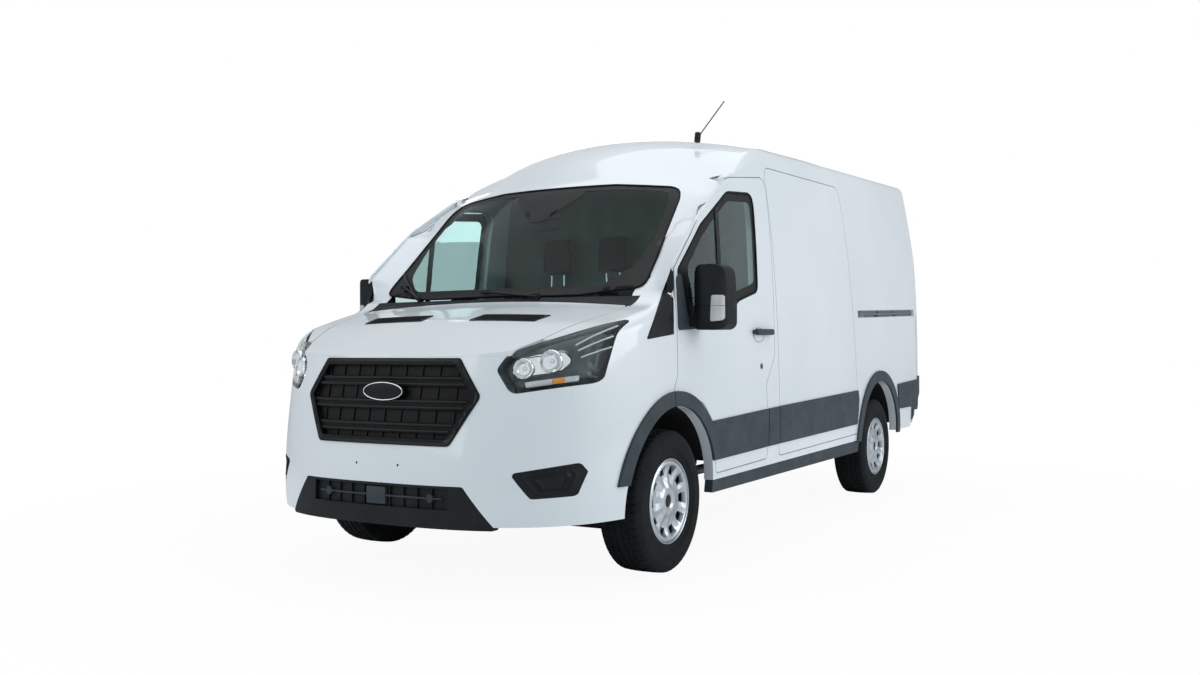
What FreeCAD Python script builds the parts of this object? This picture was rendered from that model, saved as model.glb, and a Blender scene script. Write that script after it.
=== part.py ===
# Panel van, medium wheelbase and medium roof, three seats, two sliding side doors and twin rear doors.
# Frame: millimetres, +Z up, the van faces -Y and its left side is +X.
# The origin lies on the ground under the middle of the van.
import FreeCAD, Part
import math
import os

V = FreeCAD.Vector

# Overall size and running gear
front_y = -2765.0            # foremost point of the bumper
rear_y = 2765.0              # rearmost point of the rear bumper
front_axle_y = -1742.0
rear_axle_y = 1558.0
track_half = 868.0           # wheel centre plane from the middle of the van
tyre_radius = 348.0
tyre_width = 228.0
overrun = 60.0               # how far cutting solids pass the faces that they cut
reach_x = 1100.0             # past the van's side
inside_x = 450.0             # where side-view outlines start inside the van

# Panels and gaps
rail_depth = 22.0
shut_gap = 6.0               # between a moving panel and its neighbour
skin = 10.0                  # outer flange of a door or lid
seal_gap = 6.0               # between the flange and the frame behind it
step_in = 30.0               # how far a door's inner box stands inside its flange
wall = 52.0                  # body side, roof and door thickness
door_depth = 62.0
glass_recess = 5.0
glass = 5.0
seat_gap = 0.3               # clearance of a piece in its seat
trim_proud = 9.0             # how far a moulding stands out of the paint
flare_proud = 14.0

# Side view of the body lines
rake_share = 0.022           # an unladen van stands nose down, so its roof rises to the rear
roof_z = 2372.0
roof_start_y = -690.0
header_y = -1285.0
header_z = 1990.0
cowl_y = -1868.0
cowl_z = 1338.0
bonnet_mid_y = -2300.0
bonnet_mid_z = 1222.0
nose_y = -2672.0
nose_z = 1066.0
tail_y = 2655.0
tail_top_y = 2575.0
tail_mid_z = 1500.0
envelope_low_z = 120.0
half_width = 1008.0
spine_end_y = 2905.0         # the roof line is drawn on past the tail
chin_y = -2972.0             # and the bonnet line past the nose
chin_z = 956.0
# Towards the edges the lines drop and bow backwards: y, amount
CROWN = [(-2960, 15), (cowl_y, 36), (-1200, 130), (-700, 140), (spine_end_y, 78)]
BOW = [(-2960, 60), (cowl_y, 44), (-1200, 150), (-700, 150), (spine_end_y, 150)]
shoulder_radius = 72.0
shoulder_step = 3.0
SHOULDER_TRIALS = 9
shoulder_low_z = 800.0
shoulder_run = 20.0
shoulder_loss_share = 0.03
shortest_edge = 0.01


def arc_parts(points):
    """Turns corners (u, v, radius) of an open path into straight and round pieces."""
    pieces = []
    count = len(points)
    for i, (u, v, radius) in enumerate(points):
        here = V(u, v, 0)
        if i in (0, count - 1) or radius <= 0:
            pieces.append((here,))
            continue
        before = V(points[i - 1][0], points[i - 1][1], 0) - here
        after = V(points[i + 1][0], points[i + 1][1], 0) - here
        before.normalize()
        after.normalize()
        angle = before.getAngle(after)
        reach = radius / math.tan(angle / 2)
        middle = before + after
        middle.normalize()
        centre = here + middle * (radius / math.sin(angle / 2))
        pieces.append((here + before * reach, centre - middle * radius, here + after * reach))
    return pieces


def outline(points, place):
    """A closed wire from corners (u, v, radius); place maps u, v to a point in space."""
    ring = [points[-1]] + list(points) + [points[0]]
    pieces = arc_parts(ring)[1:-1]
    edges = []
    for i, piece in enumerate(pieces):
        if len(piece) == 3:
            edges.append(Part.Arc(*[place(p.x, p.y) for p in piece]).toShape())
        start = pieces[i][-1]
        end = pieces[(i + 1) % len(pieces)][0]
        if (end - start).Length > shortest_edge:
            edges.append(Part.makeLine(place(start.x, start.y), place(end.x, end.y)))
    return Part.Wire(edges)


def grown(wire, amount):
    """The outline moved outwards by amount, or inwards where it is negative."""
    return wire.makeOffset2D(amount, 2) if amount else wire


def side_prism(points, grow=0.0, x_low=inside_x, x_high=reach_x + overrun):
    """A side-view outline (y, z, radius) carried through the left side."""
    wire = grown(outline(points, lambda y, z: V(x_low, y, z)), grow)
    return Part.Face(wire).extrude(V(x_high - x_low, 0, 0))


def front_prism(points, y_low, y_high, grow=0.0):
    """A front-view outline (x, z, radius) carried along the van."""
    wire = grown(outline(points, lambda x, z: V(x, y_low, z)), grow)
    return Part.Face(wire).extrude(V(0, y_high - y_low, 0))


def top_prism(points, z_low, z_high, grow=0.0):
    """A plan-view outline (x, y, radius) carried up."""
    wire = grown(outline(points, lambda x, y: V(x, y, z_low)), grow)
    return Part.Face(wire).extrude(V(0, 0, z_high - z_low))


def block(x0, x1, y0, y1, z0, z1):
    return Part.makeBox(x1 - x0, y1 - y0, z1 - z0, V(x0, y0, z0))


def rod(radius, start, end):
    axis = end - start
    return Part.makeCylinder(radius, axis.Length, start, axis)


def mirrored(shape):
    return shape.mirror(V(0, 0, 0), V(1, 0, 0))


def joined(shapes):
    whole = shapes[0]
    for shape in shapes[1:]:
        whole = whole.fuse(shape)
    return whole.removeSplitter()


# The body's outer form: a top form, swept across the van, meets a side form, lofted upwards.

TOP_LINE = [
    (chin_y, chin_z, 0),
    (nose_y, nose_z, 300.0),
    (bonnet_mid_y, bonnet_mid_z, 700.0),
    (cowl_y, cowl_z, 170.0),
    (header_y, header_z, 300.0),
    (roof_start_y, roof_z, 900.0),
    (spine_end_y, roof_z + rake_share * (spine_end_y - roof_start_y), 0),
]
TOP_POINTS = 44
sweep_share = 1.15           # how far the top form is swept, against the half width


def between(table, y):
    """The value at y from a table of (y, value)."""
    for (y0, v0), (y1, v1) in zip(table, table[1:]):
        if y <= y1 or (y1, v1) == table[-1]:
            return v0 + (v1 - v0) * (y - y0) / (y1 - y0)


def top_line(x):
    """The line of bonnet, screen and roof at x, bowed and crowned for its place across the van."""
    edges = []
    pieces = arc_parts(TOP_LINE)
    for i in range(len(pieces)):
        if len(pieces[i]) == 3:
            edges.append(Part.Arc(*[V(0, p.x, p.y) for p in pieces[i]]).toShape())
        if i + 1 < len(pieces):
            start = pieces[i][-1]
            end = pieces[i + 1][0]
            edges.append(Part.makeLine(V(0, start.x, start.y), V(0, end.x, end.y)))
    spine = Part.Wire(edges).discretize(Number=TOP_POINTS)
    share = (x / half_width) ** 2
    return [p + V(x, share * between(BOW, p.y), -share * between(CROWN, p.y)) for p in spine]


def top_form():
    sections = []
    shared = stations(top_line(0.0))
    reach = half_width * sweep_share
    floor_z = envelope_low_z - overrun
    for x in (-reach, 0.0, reach):
        points = top_line(x)
        curve = Part.BSplineCurve()
        curve.interpolate(Points=points, Parameters=shared)
        low_front = V(x, points[0].y, floor_z)
        low_rear = V(x, points[-1].y, floor_z)
        edges = [curve.toShape(), Part.makeLine(points[-1], low_rear), Part.makeLine(low_rear, low_front),
                 Part.makeLine(low_front, points[0])]
        sections.append(Part.Wire(edges))
    return Part.makeLoft(sections, True, False)


# Plan sections of the sides: height, step in from the half width, step back from the foremost point
SIDE_SECTIONS = [
    (envelope_low_z, 60, 50),
    (480, 8, 0),
    (1000, 3, 85),
    (1500, 22, 188),
    (2050, 76, 348),
    (2600, 160, 463),
]
widest = 2                   # the section whose spacing of points the others follow
taper_y = -1850.0
side_end_y = 2805.0
nose_power = 2.8
NOSE_POINTS = 16
FLANK_POINTS = 4


def stations(points):
    """Running length along the points, as curve parameters."""
    lengths = [0.0]
    for before, after in zip(points, points[1:]):
        lengths.append(lengths[-1] + (after - before).Length)
    return [length / lengths[-1] for length in lengths]


def side_points(section, inset):
    z, step, back = section
    half = half_width - step - inset
    foremost = front_y + back + inset
    flank_run = side_end_y - taper_y
    points = [V(half, side_end_y - flank_run * k / FLANK_POINTS, z) for k in range(FLANK_POINTS)]
    for k in range(NOSE_POINTS + 1):
        turn = math.pi * k / NOSE_POINTS
        cosine, sine = math.cos(turn), math.sin(turn)
        x = half * math.copysign(abs(cosine) ** (2 / nose_power), cosine)
        y = taper_y + (foremost - taper_y) * abs(sine) ** (2 / nose_power)
        points.append(V(x, y, z))
    points += [V(-half, taper_y + flank_run * k / FLANK_POINTS, z) for k in range(1, FLANK_POINTS + 1)]
    return points


def side_form(inset=0.0):
    shared = stations(side_points(SIDE_SECTIONS[widest], 0.0))
    sections = []
    for section in SIDE_SECTIONS:
        points = side_points(section, inset)
        curve = Part.BSplineCurve()
        curve.interpolate(Points=points, Parameters=shared)
        sections.append(Part.Wire([curve.toShape(), Part.makeLine(points[-1], points[0])]))
    return Part.makeLoft(sections, True, False)


# The rear face leans forwards above its middle, with rounded upright corners and a rounded top edge.
tail_corner_radius = 105.0
tail_top_radius = 120.0
tail_clear = 3.0


def tail_form():
    reach = half_width + tail_clear
    plan = [(-reach, front_y - overrun, 0), (reach, front_y - overrun, 0),
            (reach, tail_y, tail_corner_radius), (-reach, tail_y, tail_corner_radius)]
    rear_roof_z = roof_z + rake_share * (tail_y - roof_start_y) + tail_clear
    lean_run = (tail_top_y - tail_y) / (roof_z - tail_mid_z) * (rear_roof_z - tail_mid_z)
    side = [(front_y - overrun, 0.0, 0), (tail_y + tail_clear, 0.0, 0), (tail_y + tail_clear, tail_mid_z, 0),
            (tail_y + tail_clear + lean_run, rear_roof_z, tail_top_radius),
            (roof_start_y, roof_z + tail_clear + overrun, 0),
            (front_y - overrun, roof_z + tail_clear + overrun, 0)]
    upright = top_prism(plan, 0.0, roof_z + 3 * overrun)
    return upright.common(side_prism(side, 0.0, -half_width - overrun, half_width + overrun))


def rounded_form():
    """Top form and side form together, with the shoulder edges between them rounded."""
    solid = top_form().common(side_form()).Solids[0]
    edges = []
    for edge in solid.Edges:
        box = edge.BoundBox
        if box.ZMin > shoulder_low_z and box.YMax - box.YMin > shoulder_run:
            edges.append(edge)
    for trial in range(SHOULDER_TRIALS):
        try:
            rounded = solid.makeFillet(shoulder_radius + trial * shoulder_step, edges)
        except Part.OCCError:
            continue
        loss = 1 - rounded.Volume / solid.Volume
        if rounded.isValid() and 0 < loss < shoulder_loss_share:
            return rounded
    return solid


OUTER = rounded_form().common(tail_form()).Solids[0]


def moved(shape, direction, depth):
    """A copy moved along direction by depth; a positive depth goes into the van."""
    copy = shape.copy()
    copy.translate(direction * depth)
    return copy


def panel(region, source, direction, outer, inner):
    """What lies in region between two depths under the outer form."""
    return moved(source, direction, outer).common(region).cut(moved(source, direction, inner))


INWARD = V(-1, 0, 0)                     # for the left side
DOWN = V(0, 0, -1)
FORWARD = V(0, -1, 0)
SCREEN_IN = V(0, 0.75, -0.66)
LID_IN = V(0, 0.25, -0.97)
CORNER_IN = V(-0.75, -0.66, 0)

SIDE = side_form()

PARTS = {}


def both_sides(name, shape):
    PARTS[name + "_left"] = shape
    PARTS[name + "_right"] = mirrored(shape)


def largest(shape):
    return max(shape.Solids, key=lambda solid: solid.Volume)


def two_step(points, source, reach):
    """A door: an outer skin to the full outline and an inner box that stands back from it."""
    outer = panel(side_prism(points), source, INWARD, 0.0, skin)
    inner = panel(side_prism(points, -step_in), source, INWARD, skin, reach)
    return outer.fuse(inner)


def two_step_cut(points, source):
    """The opening for such a door, with room for its gaps."""
    outer = side_prism(points, shut_gap).cut(moved(source, INWARD, skin + seal_gap))
    inner = side_prism(points, shut_gap - step_in).cut(moved(source, INWARD, door_depth + seal_gap))
    return outer.fuse(inner)


# Left front door, side view: y, z, corner radius
DOOR_EDGE = [
    (-1712, 1165, 30), (-1722, 1500, 40), (-1378, 1790, 160), (-985, 2018, 220), (-432, 2086, 70),
    (-474, 1040, 60), (-612, 880, 60), (-590, 690, 30), (-587, 455, 25), (-1270, 440, 25), (-1312, 700, 120),
    (-1430, 812, 140), (-1600, 862, 160), (-1776, 862, 20), (-1716, 960, 80),
]
WINDOW = [
    (-1690, 1478, 45), (-1388, 1731, 150), (-1010, 1945, 200), (-640, 1975, 70), (-682, 1402, 60),
    (-945, 1345, 60), (-1180, 1235, 120), (-1480, 1215, 60), (-1640, 1245, 50),
]
SLIDER_EDGE = [
    (-424, 2150, 70), (905, 2180, 70), (1022, 800, 40), (1062, 720, 40), (1062, 480, 30), (-400, 455, 30),
]
RAIL_GROOVE = [(1085, 1283, 10), (1085, 1338, 10), (2520, 1376, 10), (2520, 1321, 10)]
arch_radius = 440.0
front_arch_z = 372.0
rear_arch_z = 392.0
arch_forward = 10.0          # the rear arch is centred a little ahead of its axle
rear_arch_y = rear_axle_y - arch_forward
arch_inner_x = 400.0


def arch(axle_y, z, radius, x0=arch_inner_x, x1=reach_x + overrun):
    return rod(radius, V(x0, axle_y, z), V(x1, axle_y, z))


FRONT_ARCH = arch(front_axle_y, front_arch_z, arch_radius)
REAR_ARCH = arch(rear_arch_y, rear_arch_z, arch_radius)

# Front doors with their window openings
window_hole = side_prism(WINDOW)
door = two_step(DOOR_EDGE, SIDE, door_depth).cut(window_hole).cut(FRONT_ARCH)
both_sides("front_door", largest(door))
pane = panel(side_prism(WINDOW, -seat_gap), SIDE, INWARD, glass_recess, glass_recess + glass)
both_sides("door_glass", pane)

# Sliding doors
slider = two_step(SLIDER_EDGE, SIDE, door_depth).cut(REAR_ARCH)
both_sides("sliding_door", largest(slider))

# Roof with header, screen pillars and shoulders; it meets the body sides under the shoulder.
JOIN_LINE = [(-985, 2026, 0), (-700, 2118, 0), (-440, 2162, 0), (905, 2192, 0)]
# The screen pillars belong to the roof, so their line runs inside the door opening
pillar_foot_y = -1682.0
PILLAR_LINE = [(pillar_foot_y, 1481, 0), (-1354, 1757, 0), (-985, 1972, 0)]
JOIN_TAIL_Z = 2224.0
SCREEN_HALF = [(500, 1356, 300), (842, 1392, 60), (772, 1966, 120), (380, 2000, 300)]
SCREEN = SCREEN_HALF + [(-x, z, radius) for x, z, radius in SCREEN_HALF[::-1]]
low_edge_z = 1352.0
past_tail_y = 2700.0
UPPER_EDGE = [(-2000, low_edge_z, 0), (pillar_foot_y, low_edge_z, 0)]
UPPER_EDGE += PILLAR_LINE + JOIN_LINE
UPPER_EDGE += [(past_tail_y, JOIN_TAIL_Z, 0), (past_tail_y, 2600, 0), (-2000, 2600, 0)]
CAVITY_BOX = (-reach_x, reach_x, -2900, 2520, 300, 2500)
SCREEN_Y = (-2100, -900)
TOP = top_form()
CAVITY = moved(TOP, SCREEN_IN, wall).common(side_form(wall)).common(block(*CAVITY_BOX))
upper = OUTER.common(side_prism(UPPER_EDGE, 0.0, -reach_x, reach_x)).cut(CAVITY)
screen_hole = front_prism(SCREEN, *SCREEN_Y)
door_cut = two_step_cut(DOOR_EDGE, SIDE)
PARTS["roof"] = largest(upper.cut(screen_hole).cut(door_cut).cut(mirrored(door_cut)))
screen_region = front_prism(SCREEN, *SCREEN_Y, -seat_gap)
PARTS["windscreen"] = largest(panel(screen_region, TOP, SCREEN_IN, glass_recess, glass_recess + glass))

# Body sides: pillars, sill, rear quarter and the upright corner at the tail
tail_join_y = 2500.0
tail_low_z = 566.0
slider_top_y, slider_top_z = JOIN_LINE[-1][:2]
join_rise = (JOIN_TAIL_Z - slider_top_z) / (past_tail_y - slider_top_y)
tail_join_z = slider_top_z + join_rise * (tail_join_y - slider_top_y)
FLANK_EDGE = [(-1300, 405, 0), (1118, 430, 0), (2375, 440, 0), (tail_join_y, tail_low_z, 0),
              (tail_join_y, tail_join_z, 0)]
FLANK_EDGE += JOIN_LINE[::-1] + PILLAR_LINE[::-1] + [(pillar_foot_y, 870, 0)]
PILLAR_EDGE = [(-1792, 870, 0), (-1792, 1332.6, 0), (-1640, 1332.6, 0), (-1640, 870, 0)]
PILLAR_DEPTHS = (34, 96)
body_side = panel(side_prism(FLANK_EDGE), SIDE, INWARD, 0.0, wall)
corner_x = 790.0
corner = OUTER.common(block(corner_x, reach_x, tail_join_y, past_tail_y, tail_low_z, tail_join_z))
body_side = body_side.fuse(corner.cut(moved(corner, CORNER_IN, wall)))
slider_cut = two_step_cut(SLIDER_EDGE, SIDE)
body_side = body_side.cut(door_cut).cut(slider_cut)
body_side = body_side.cut(FRONT_ARCH).cut(REAR_ARCH)
body_side = body_side.cut(side_prism(RAIL_GROOVE).cut(moved(SIDE, INWARD, rail_depth)))
hinge_pillar = panel(side_prism(PILLAR_EDGE), SIDE, INWARD, *PILLAR_DEPTHS).cut(door_cut)
both_sides("body_side", Part.makeCompound([largest(body_side), largest(hinge_pillar)]))

# Rear doors
REAR_OPENING = (3, 783, 2400, 2700, 566, 2212)
leaf = OUTER.common(block(*REAR_OPENING))
both_sides("rear_door", largest(leaf.cut(moved(leaf, FORWARD, wall))))

# Bonnet, cowl and front wings
BONNET_HALF = [(600, -2820, 0), (612, -2600, 60), (700, -2440, 300), (780, -2200, 400), (826, -1980, 200),
               (820, -1892, 20)]
BONNET = BONNET_HALF + [(-x, y, radius) for x, y, radius in BONNET_HALF[::-1]]
BONNET_Z = (1064.0, 1420.0)
LID_HOLE_Z = (1000.0, 1420.0)
COWL_BOX = (-842, 842, -1884, -1600, 1200, 1351)
bonnet_skin = 22.0
lid_gap = 8.0
lid_region = top_prism(BONNET, *BONNET_Z).common(SIDE)
PARTS["bonnet"] = largest(panel(lid_region, TOP, LID_IN, 0.0, bonnet_skin))
PARTS["cowl"] = largest(panel(block(*COWL_BOX), TOP, LID_IN, 0.0, 2 * bonnet_skin))

LAMP = [(569, 1004, 30), (640, 896, 50), (935, 945, 40), (964, 1236, 16), (617, 1079, 40)]
LAMP_Y = (-2800, -1900)
WING_IN = V(-0.62, 0.5, -0.6)
NOSE_BOX = (540, 1100, -2800, -1719, 740, 1351)
WING_BOX = (560, 1100, -2445, -1719, 756, 1351)
WING_COWL_CUT = (0, COWL_BOX[1] + seat_gap, -1900, -1600, 1000, 1420)
wing_skin = 30.0
lamp_depth = 64.0
nose_block = OUTER.common(block(*NOSE_BOX))
lamp = nose_block.common(front_prism(LAMP, *LAMP_Y)).cut(side_form(lamp_depth))
lamp = lamp.cut(top_prism(BONNET, BONNET_Z[0] - lid_gap, BONNET_Z[1], lid_gap / 2))
lamp_hole = front_prism(LAMP, *LAMP_Y, seat_gap)
wing = nose_block.common(block(*WING_BOX)).cut(moved(nose_block, WING_IN, wing_skin))
wing = wing.cut(lamp_hole).cut(top_prism(BONNET, *LID_HOLE_Z, lid_gap)).cut(block(*WING_COWL_CUT))
wing = wing.cut(FRONT_ARCH).cut(door_cut).cut(PARTS["body_side_left"])
both_sides("front_wing", largest(wing))
both_sides("headlamp", largest(lamp))

# Front bumper, grille and valance, from the side form alone
HEX = [(-398, 1056, 20), (398, 1056, 20), (514, 886, 30), (386, 667, 30), (-386, 667, 30), (-514, 886, 30)]
FOG = [(657, 555, 15), (735, 444, 20), (880, 452, 20), (908, 556, 15), (889, 596, 15)]
VALANCE = [(-608, 306, 10), (608, 306, 10), (462, 495, 20), (-462, 495, 20)]
BUMPER_BOX = (-1100, 1100, -2800, -2060, 322, 755.7)
MOUTH = (-395, 395, -2800, -2600, 391, 484)
NOSE_Y = (-2800, -2445.3)
FOG_Y = (-2800, -2200)
bumper_skin = 28.0
mesh_thickness = 8.0
fog_recess = 3.0


def nose_layer(region, outer, inner):
    """What lies in region between two insets of the side form."""
    return side_form(outer).common(region).cut(side_form(inner))


UNDER_LAMPS = [(-1100, 755.7, 0), (1100, 755.7, 0), (1100, 980, 0), (600, 1063.7, 0), (-600, 1063.7, 0),
               (-1100, 980, 0)]
upper_nose = front_prism(UNDER_LAMPS, *NOSE_Y)
bumper = nose_layer(block(*BUMPER_BOX).fuse(upper_nose), 0.0, bumper_skin)
bumper = bumper.cut(front_prism(HEX, *NOSE_Y, seat_gap)).cut(front_prism(VALANCE, *NOSE_Y, seat_gap))
bumper = bumper.cut(FRONT_ARCH).cut(mirrored(FRONT_ARCH))
for hole in (front_prism(FOG, *FOG_Y, seat_gap), lamp_hole):
    bumper = bumper.cut(hole).cut(mirrored(hole))
PARTS["front_bumper"] = largest(bumper)
fog = largest(nose_layer(front_prism(FOG, *FOG_Y), fog_recess, bumper_skin))
valance = nose_layer(front_prism(VALANCE, *NOSE_Y), 0.0, bumper_skin).cut(block(*MOUTH))
mesh = nose_layer(block(*MOUTH), bumper_skin - mesh_thickness, bumper_skin)
PARTS["lower_grille"] = Part.makeCompound([largest(valance), largest(mesh), fog, mirrored(fog)])

# Grille: a proud six-sided frame, grooved bars across it and upright ribs on a closed back
ring_width = 30.0
ring_proud = 6.0
BAR_HEIGHTS = (722.0, 826.0, 930.0)
bar_height = 44.0
GROOVE = (17.0, 27.0)        # within a bar's height
BAR_DEPTHS = (4.0, 22.0)
groove_depth = 9.0
RIB_PITCH = 96.0
RIBS_EACH_SIDE = 4
rib_half = 4.0
UPRIGHT_Z = (640.0, 1080.0)
rib_depth = 15.0
back_depth = 21.0
hex_inner = front_prism(HEX, *NOSE_Y, -ring_width)


def across(z0, z1):
    return block(-reach_x, reach_x, *NOSE_Y, z0, z1)


bar_blocks = joined([across(z, z + bar_height) for z in BAR_HEIGHTS])
groove_blocks = joined([across(z + GROOVE[0], z + GROOVE[1]) for z in BAR_HEIGHTS])
rib_places = [RIB_PITCH * k for k in range(-RIBS_EACH_SIDE, RIBS_EACH_SIDE + 1)]
rib_blocks = joined([block(x - rib_half, x + rib_half, *NOSE_Y, *UPRIGHT_Z) for x in rib_places])
ring = nose_layer(front_prism(HEX, *NOSE_Y), -ring_proud, bumper_skin).cut(hex_inner)
bars = nose_layer(hex_inner.common(bar_blocks), *BAR_DEPTHS)
bars = bars.cut(groove_blocks.common(side_form(-ring_proud)).cut(side_form(groove_depth)))
ribs = nose_layer(hex_inner.common(rib_blocks), rib_depth, bumper_skin)
backing = nose_layer(hex_inner, back_depth, bumper_skin)
PARTS["grille"] = joined([ring, backing, bars, ribs])

# Side mouldings, flares and sill strips, all proud of the paint
flare_width = 72.0
flare_split_y = -1773.0
FRONT_FLARE = (-2400, flare_split_y - shut_gap, 472)      # from y, to y, foot height
DOOR_FLARE = (flare_split_y, -1200, 408)
REAR_FLARE = (900, 2200, 420)
FLARE_X = (800, 1200)
DOOR_MOULD = [(-1320, 508, 0), (-1300, 640, 0), (-1386, 712, 20), (-592, 738, 10), (-590, 522, 10)]
SLIDER_MOULD = [(-418, 744, 10), (1030, 780, 10), (1050, 720, 0), (1020, 546, 20), (-400, 525, 10)]
TAIL_MOULD = [(2040, 600, 10), (1990, 790, 20), (2398, 806, 10), (2398, 600, 10)]
PILLAR_MOULD = [(-583, 738, 6), (-426, 743, 6), (-408, 525, 6), (-581, 522, 6)]
SAIL = [(-1704, 1180, 20), (-1706, 1440, 30), (-1650, 1470, 20), (-1600, 1250, 60), (-1460, 1190, 0)]
PULL_BOX = (960, 1026, -787, -527, 1166, 1187)
STRIP_EDGE = [(-1290, 336, 10), (-1290, 404.7, 0), (1110, 429.5, 0), (1110, 346, 10)]


def moulding(region, proud=trim_proud):
    return moved(SIDE, INWARD, -proud).common(region).cut(moved(SIDE, INWARD, -seat_gap))


flare_gap = 4.0
strip_recess = 6.0
sail_proud = 4.0


def flare(axle_y, z, y0, y1, foot_z):
    top_z = z + arch_radius + flare_width
    ring_shape = arch(axle_y, z, arch_radius + flare_width).cut(arch(axle_y, z, arch_radius))
    return moulding(ring_shape.common(block(*FLARE_X, y0, y1, foot_z, top_z)), flare_proud)


past_flare = arch(rear_arch_y, rear_arch_z, arch_radius + flare_width + flare_gap)
front_flare = flare(front_axle_y, front_arch_z, *FRONT_FLARE)
door_flare = flare(front_axle_y, front_arch_z, *DOOR_FLARE).cut(side_prism(DOOR_MOULD, shut_gap))
rear_flare = flare(rear_arch_y, rear_arch_z, *REAR_FLARE)
slider_mould = moulding(side_prism(SLIDER_MOULD)).cut(past_flare)
tail_mould = moulding(side_prism(TAIL_MOULD)).cut(past_flare)
pillar_mould = moulding(side_prism(PILLAR_MOULD))
strip = panel(side_prism(STRIP_EDGE), SIDE, INWARD, strip_recess, wall)
fixed = [front_flare, rear_flare, slider_mould, tail_mould, pillar_mould, strip]
both_sides("side_moulding", Part.makeCompound([largest(piece) for piece in fixed]))
door_mould = moulding(side_prism(DOOR_MOULD))
sail = moulding(side_prism(SAIL), sail_proud)
pull = block(*PULL_BOX).cut(moved(SIDE, INWARD, -seat_gap))
door_trim = [largest(door_mould), largest(door_flare), largest(sail), largest(pull)]
both_sides("door_moulding", Part.makeCompound(door_trim))

# Mirrors on their arms: a tall head, domed forwards, whose front view tapers a little upwards
MIRROR_FRONT = [(1020, 1182, 46), (1206, 1182, 46), (1208, 1330, 300), (1190, 1505, 52), (1034, 1505, 52),
                (1014, 1330, 300)]
MIRROR_PLAN = [(1012, -1605, 78), (1210, -1605, 78), (1210, -1455, 16), (1012, -1455, 16)]
MIRROR_Y = (-1620, -1440)
MIRROR_Z = (1170, 1520)
MIRROR_ARM = (985, 1040, -1585, -1490, 1198, 1262)
head = front_prism(MIRROR_FRONT, *MIRROR_Y).common(top_prism(MIRROR_PLAN, *MIRROR_Z))
arm_block = block(*MIRROR_ARM).cut(moved(SIDE, INWARD, -sail_proud - seat_gap))
both_sides("mirror", head.fuse(arm_block))

# Rear bumper, tail lamps and aerial
bumper_half = 1011.0
BUMPER_PLAN = [(-bumper_half, 2404, 0), (bumper_half, 2404, 0), (bumper_half, 2700, 110), (870, rear_y, 40),
               (-870, rear_y, 40), (-bumper_half, 2700, 110)]
BUMPER_Z = (445, 560)
CORNER_Z = (560, 838)
CORNER_PLAN = [(800, 2560, 0), (bumper_half, 2560, 0), (bumper_half, 2690, 90), (800, 2690, 0)]
CORNER_SLANT = [(2370, 440, 0), (2628, 715, 0), (2800, 715, 0), (2800, 440, 0)]
slant_x = 872.0
core_half = half_width + tail_clear + seat_gap
core_radius = tail_corner_radius + seat_gap
CORE_PLAN = [(-core_half, 2300, 0), (core_half, 2300, 0), (core_half, tail_y + seat_gap, core_radius),
             (-core_half, tail_y + seat_gap, core_radius)]
CORE_Z = (400, 900)
corner_cap = top_prism(CORNER_PLAN, *CORNER_Z)
slant = side_prism(CORNER_SLANT, 0.0, slant_x, reach_x)
rear_bumper = top_prism(BUMPER_PLAN, *BUMPER_Z).fuse(corner_cap).fuse(mirrored(corner_cap))
body_core = side_form(-seat_gap).common(top_prism(CORE_PLAN, *CORE_Z))
PARTS["rear_bumper"] = largest(rear_bumper.cut(slant).cut(mirrored(slant)).cut(body_core))
TAIL_LAMP = (812, 972, 2614, 2700, 905, 1470)
LAMP_CORE = (780, reach_x, 2400, past_tail_y, 850, 1520)
tail_lamp_proud = 10.0
lamp_core = OUTER.common(block(*LAMP_CORE))
tail_lamp = moved(lamp_core, CORNER_IN, -tail_lamp_proud).common(block(*TAIL_LAMP)).cut(lamp_core)
PARTS["tail_lamps"] = Part.makeCompound([largest(tail_lamp), mirrored(largest(tail_lamp))])
AERIAL_FOOT = V(640, -735, 2282)
AERIAL_RISE = V(0, 376, 302)
FOOT_RISE = V(0, 12, 52)
MAST_START = V(0, 0, 20)
foot_radius = 18.0
mast_radius = 3.5
foot = rod(foot_radius, AERIAL_FOOT, AERIAL_FOOT + FOOT_RISE)
aerial = foot.fuse(rod(mast_radius, AERIAL_FOOT + MAST_START, AERIAL_FOOT + AERIAL_RISE))
PARTS["aerial"] = largest(aerial.cut(moved(TOP, DOWN, -seat_gap)))

# Wheels: tyre, rim with cover and hub bore
rim_radius = 203.0
rim_half = 100.0
spindle_radius = 30.0
bore_gap = 0.05
bore_radius = spindle_radius + bore_gap
rim_wall = 9.0
cover_step = 4.0
cover_radius = rim_radius - cover_step
SLOT_COUNT = 10
SLOT = (60, 120, -27, 27, 152, 178)          # along the axle, across, from radius to radius
tread_half = tyre_width / 2
hub_z = tyre_radius


def turned(profile, x, axle_y, z):
    """A ring turned about a wheel's axis from corners (along, radius, rounding)."""
    wire = outline(profile, lambda along, radius: V(along, 0, radius))
    ring_shape = Part.Face(wire).revolve(V(0, 0, 0), V(1, 0, 0), 360)
    ring_shape.translate(V(x, axle_y, z))
    return ring_shape


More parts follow.
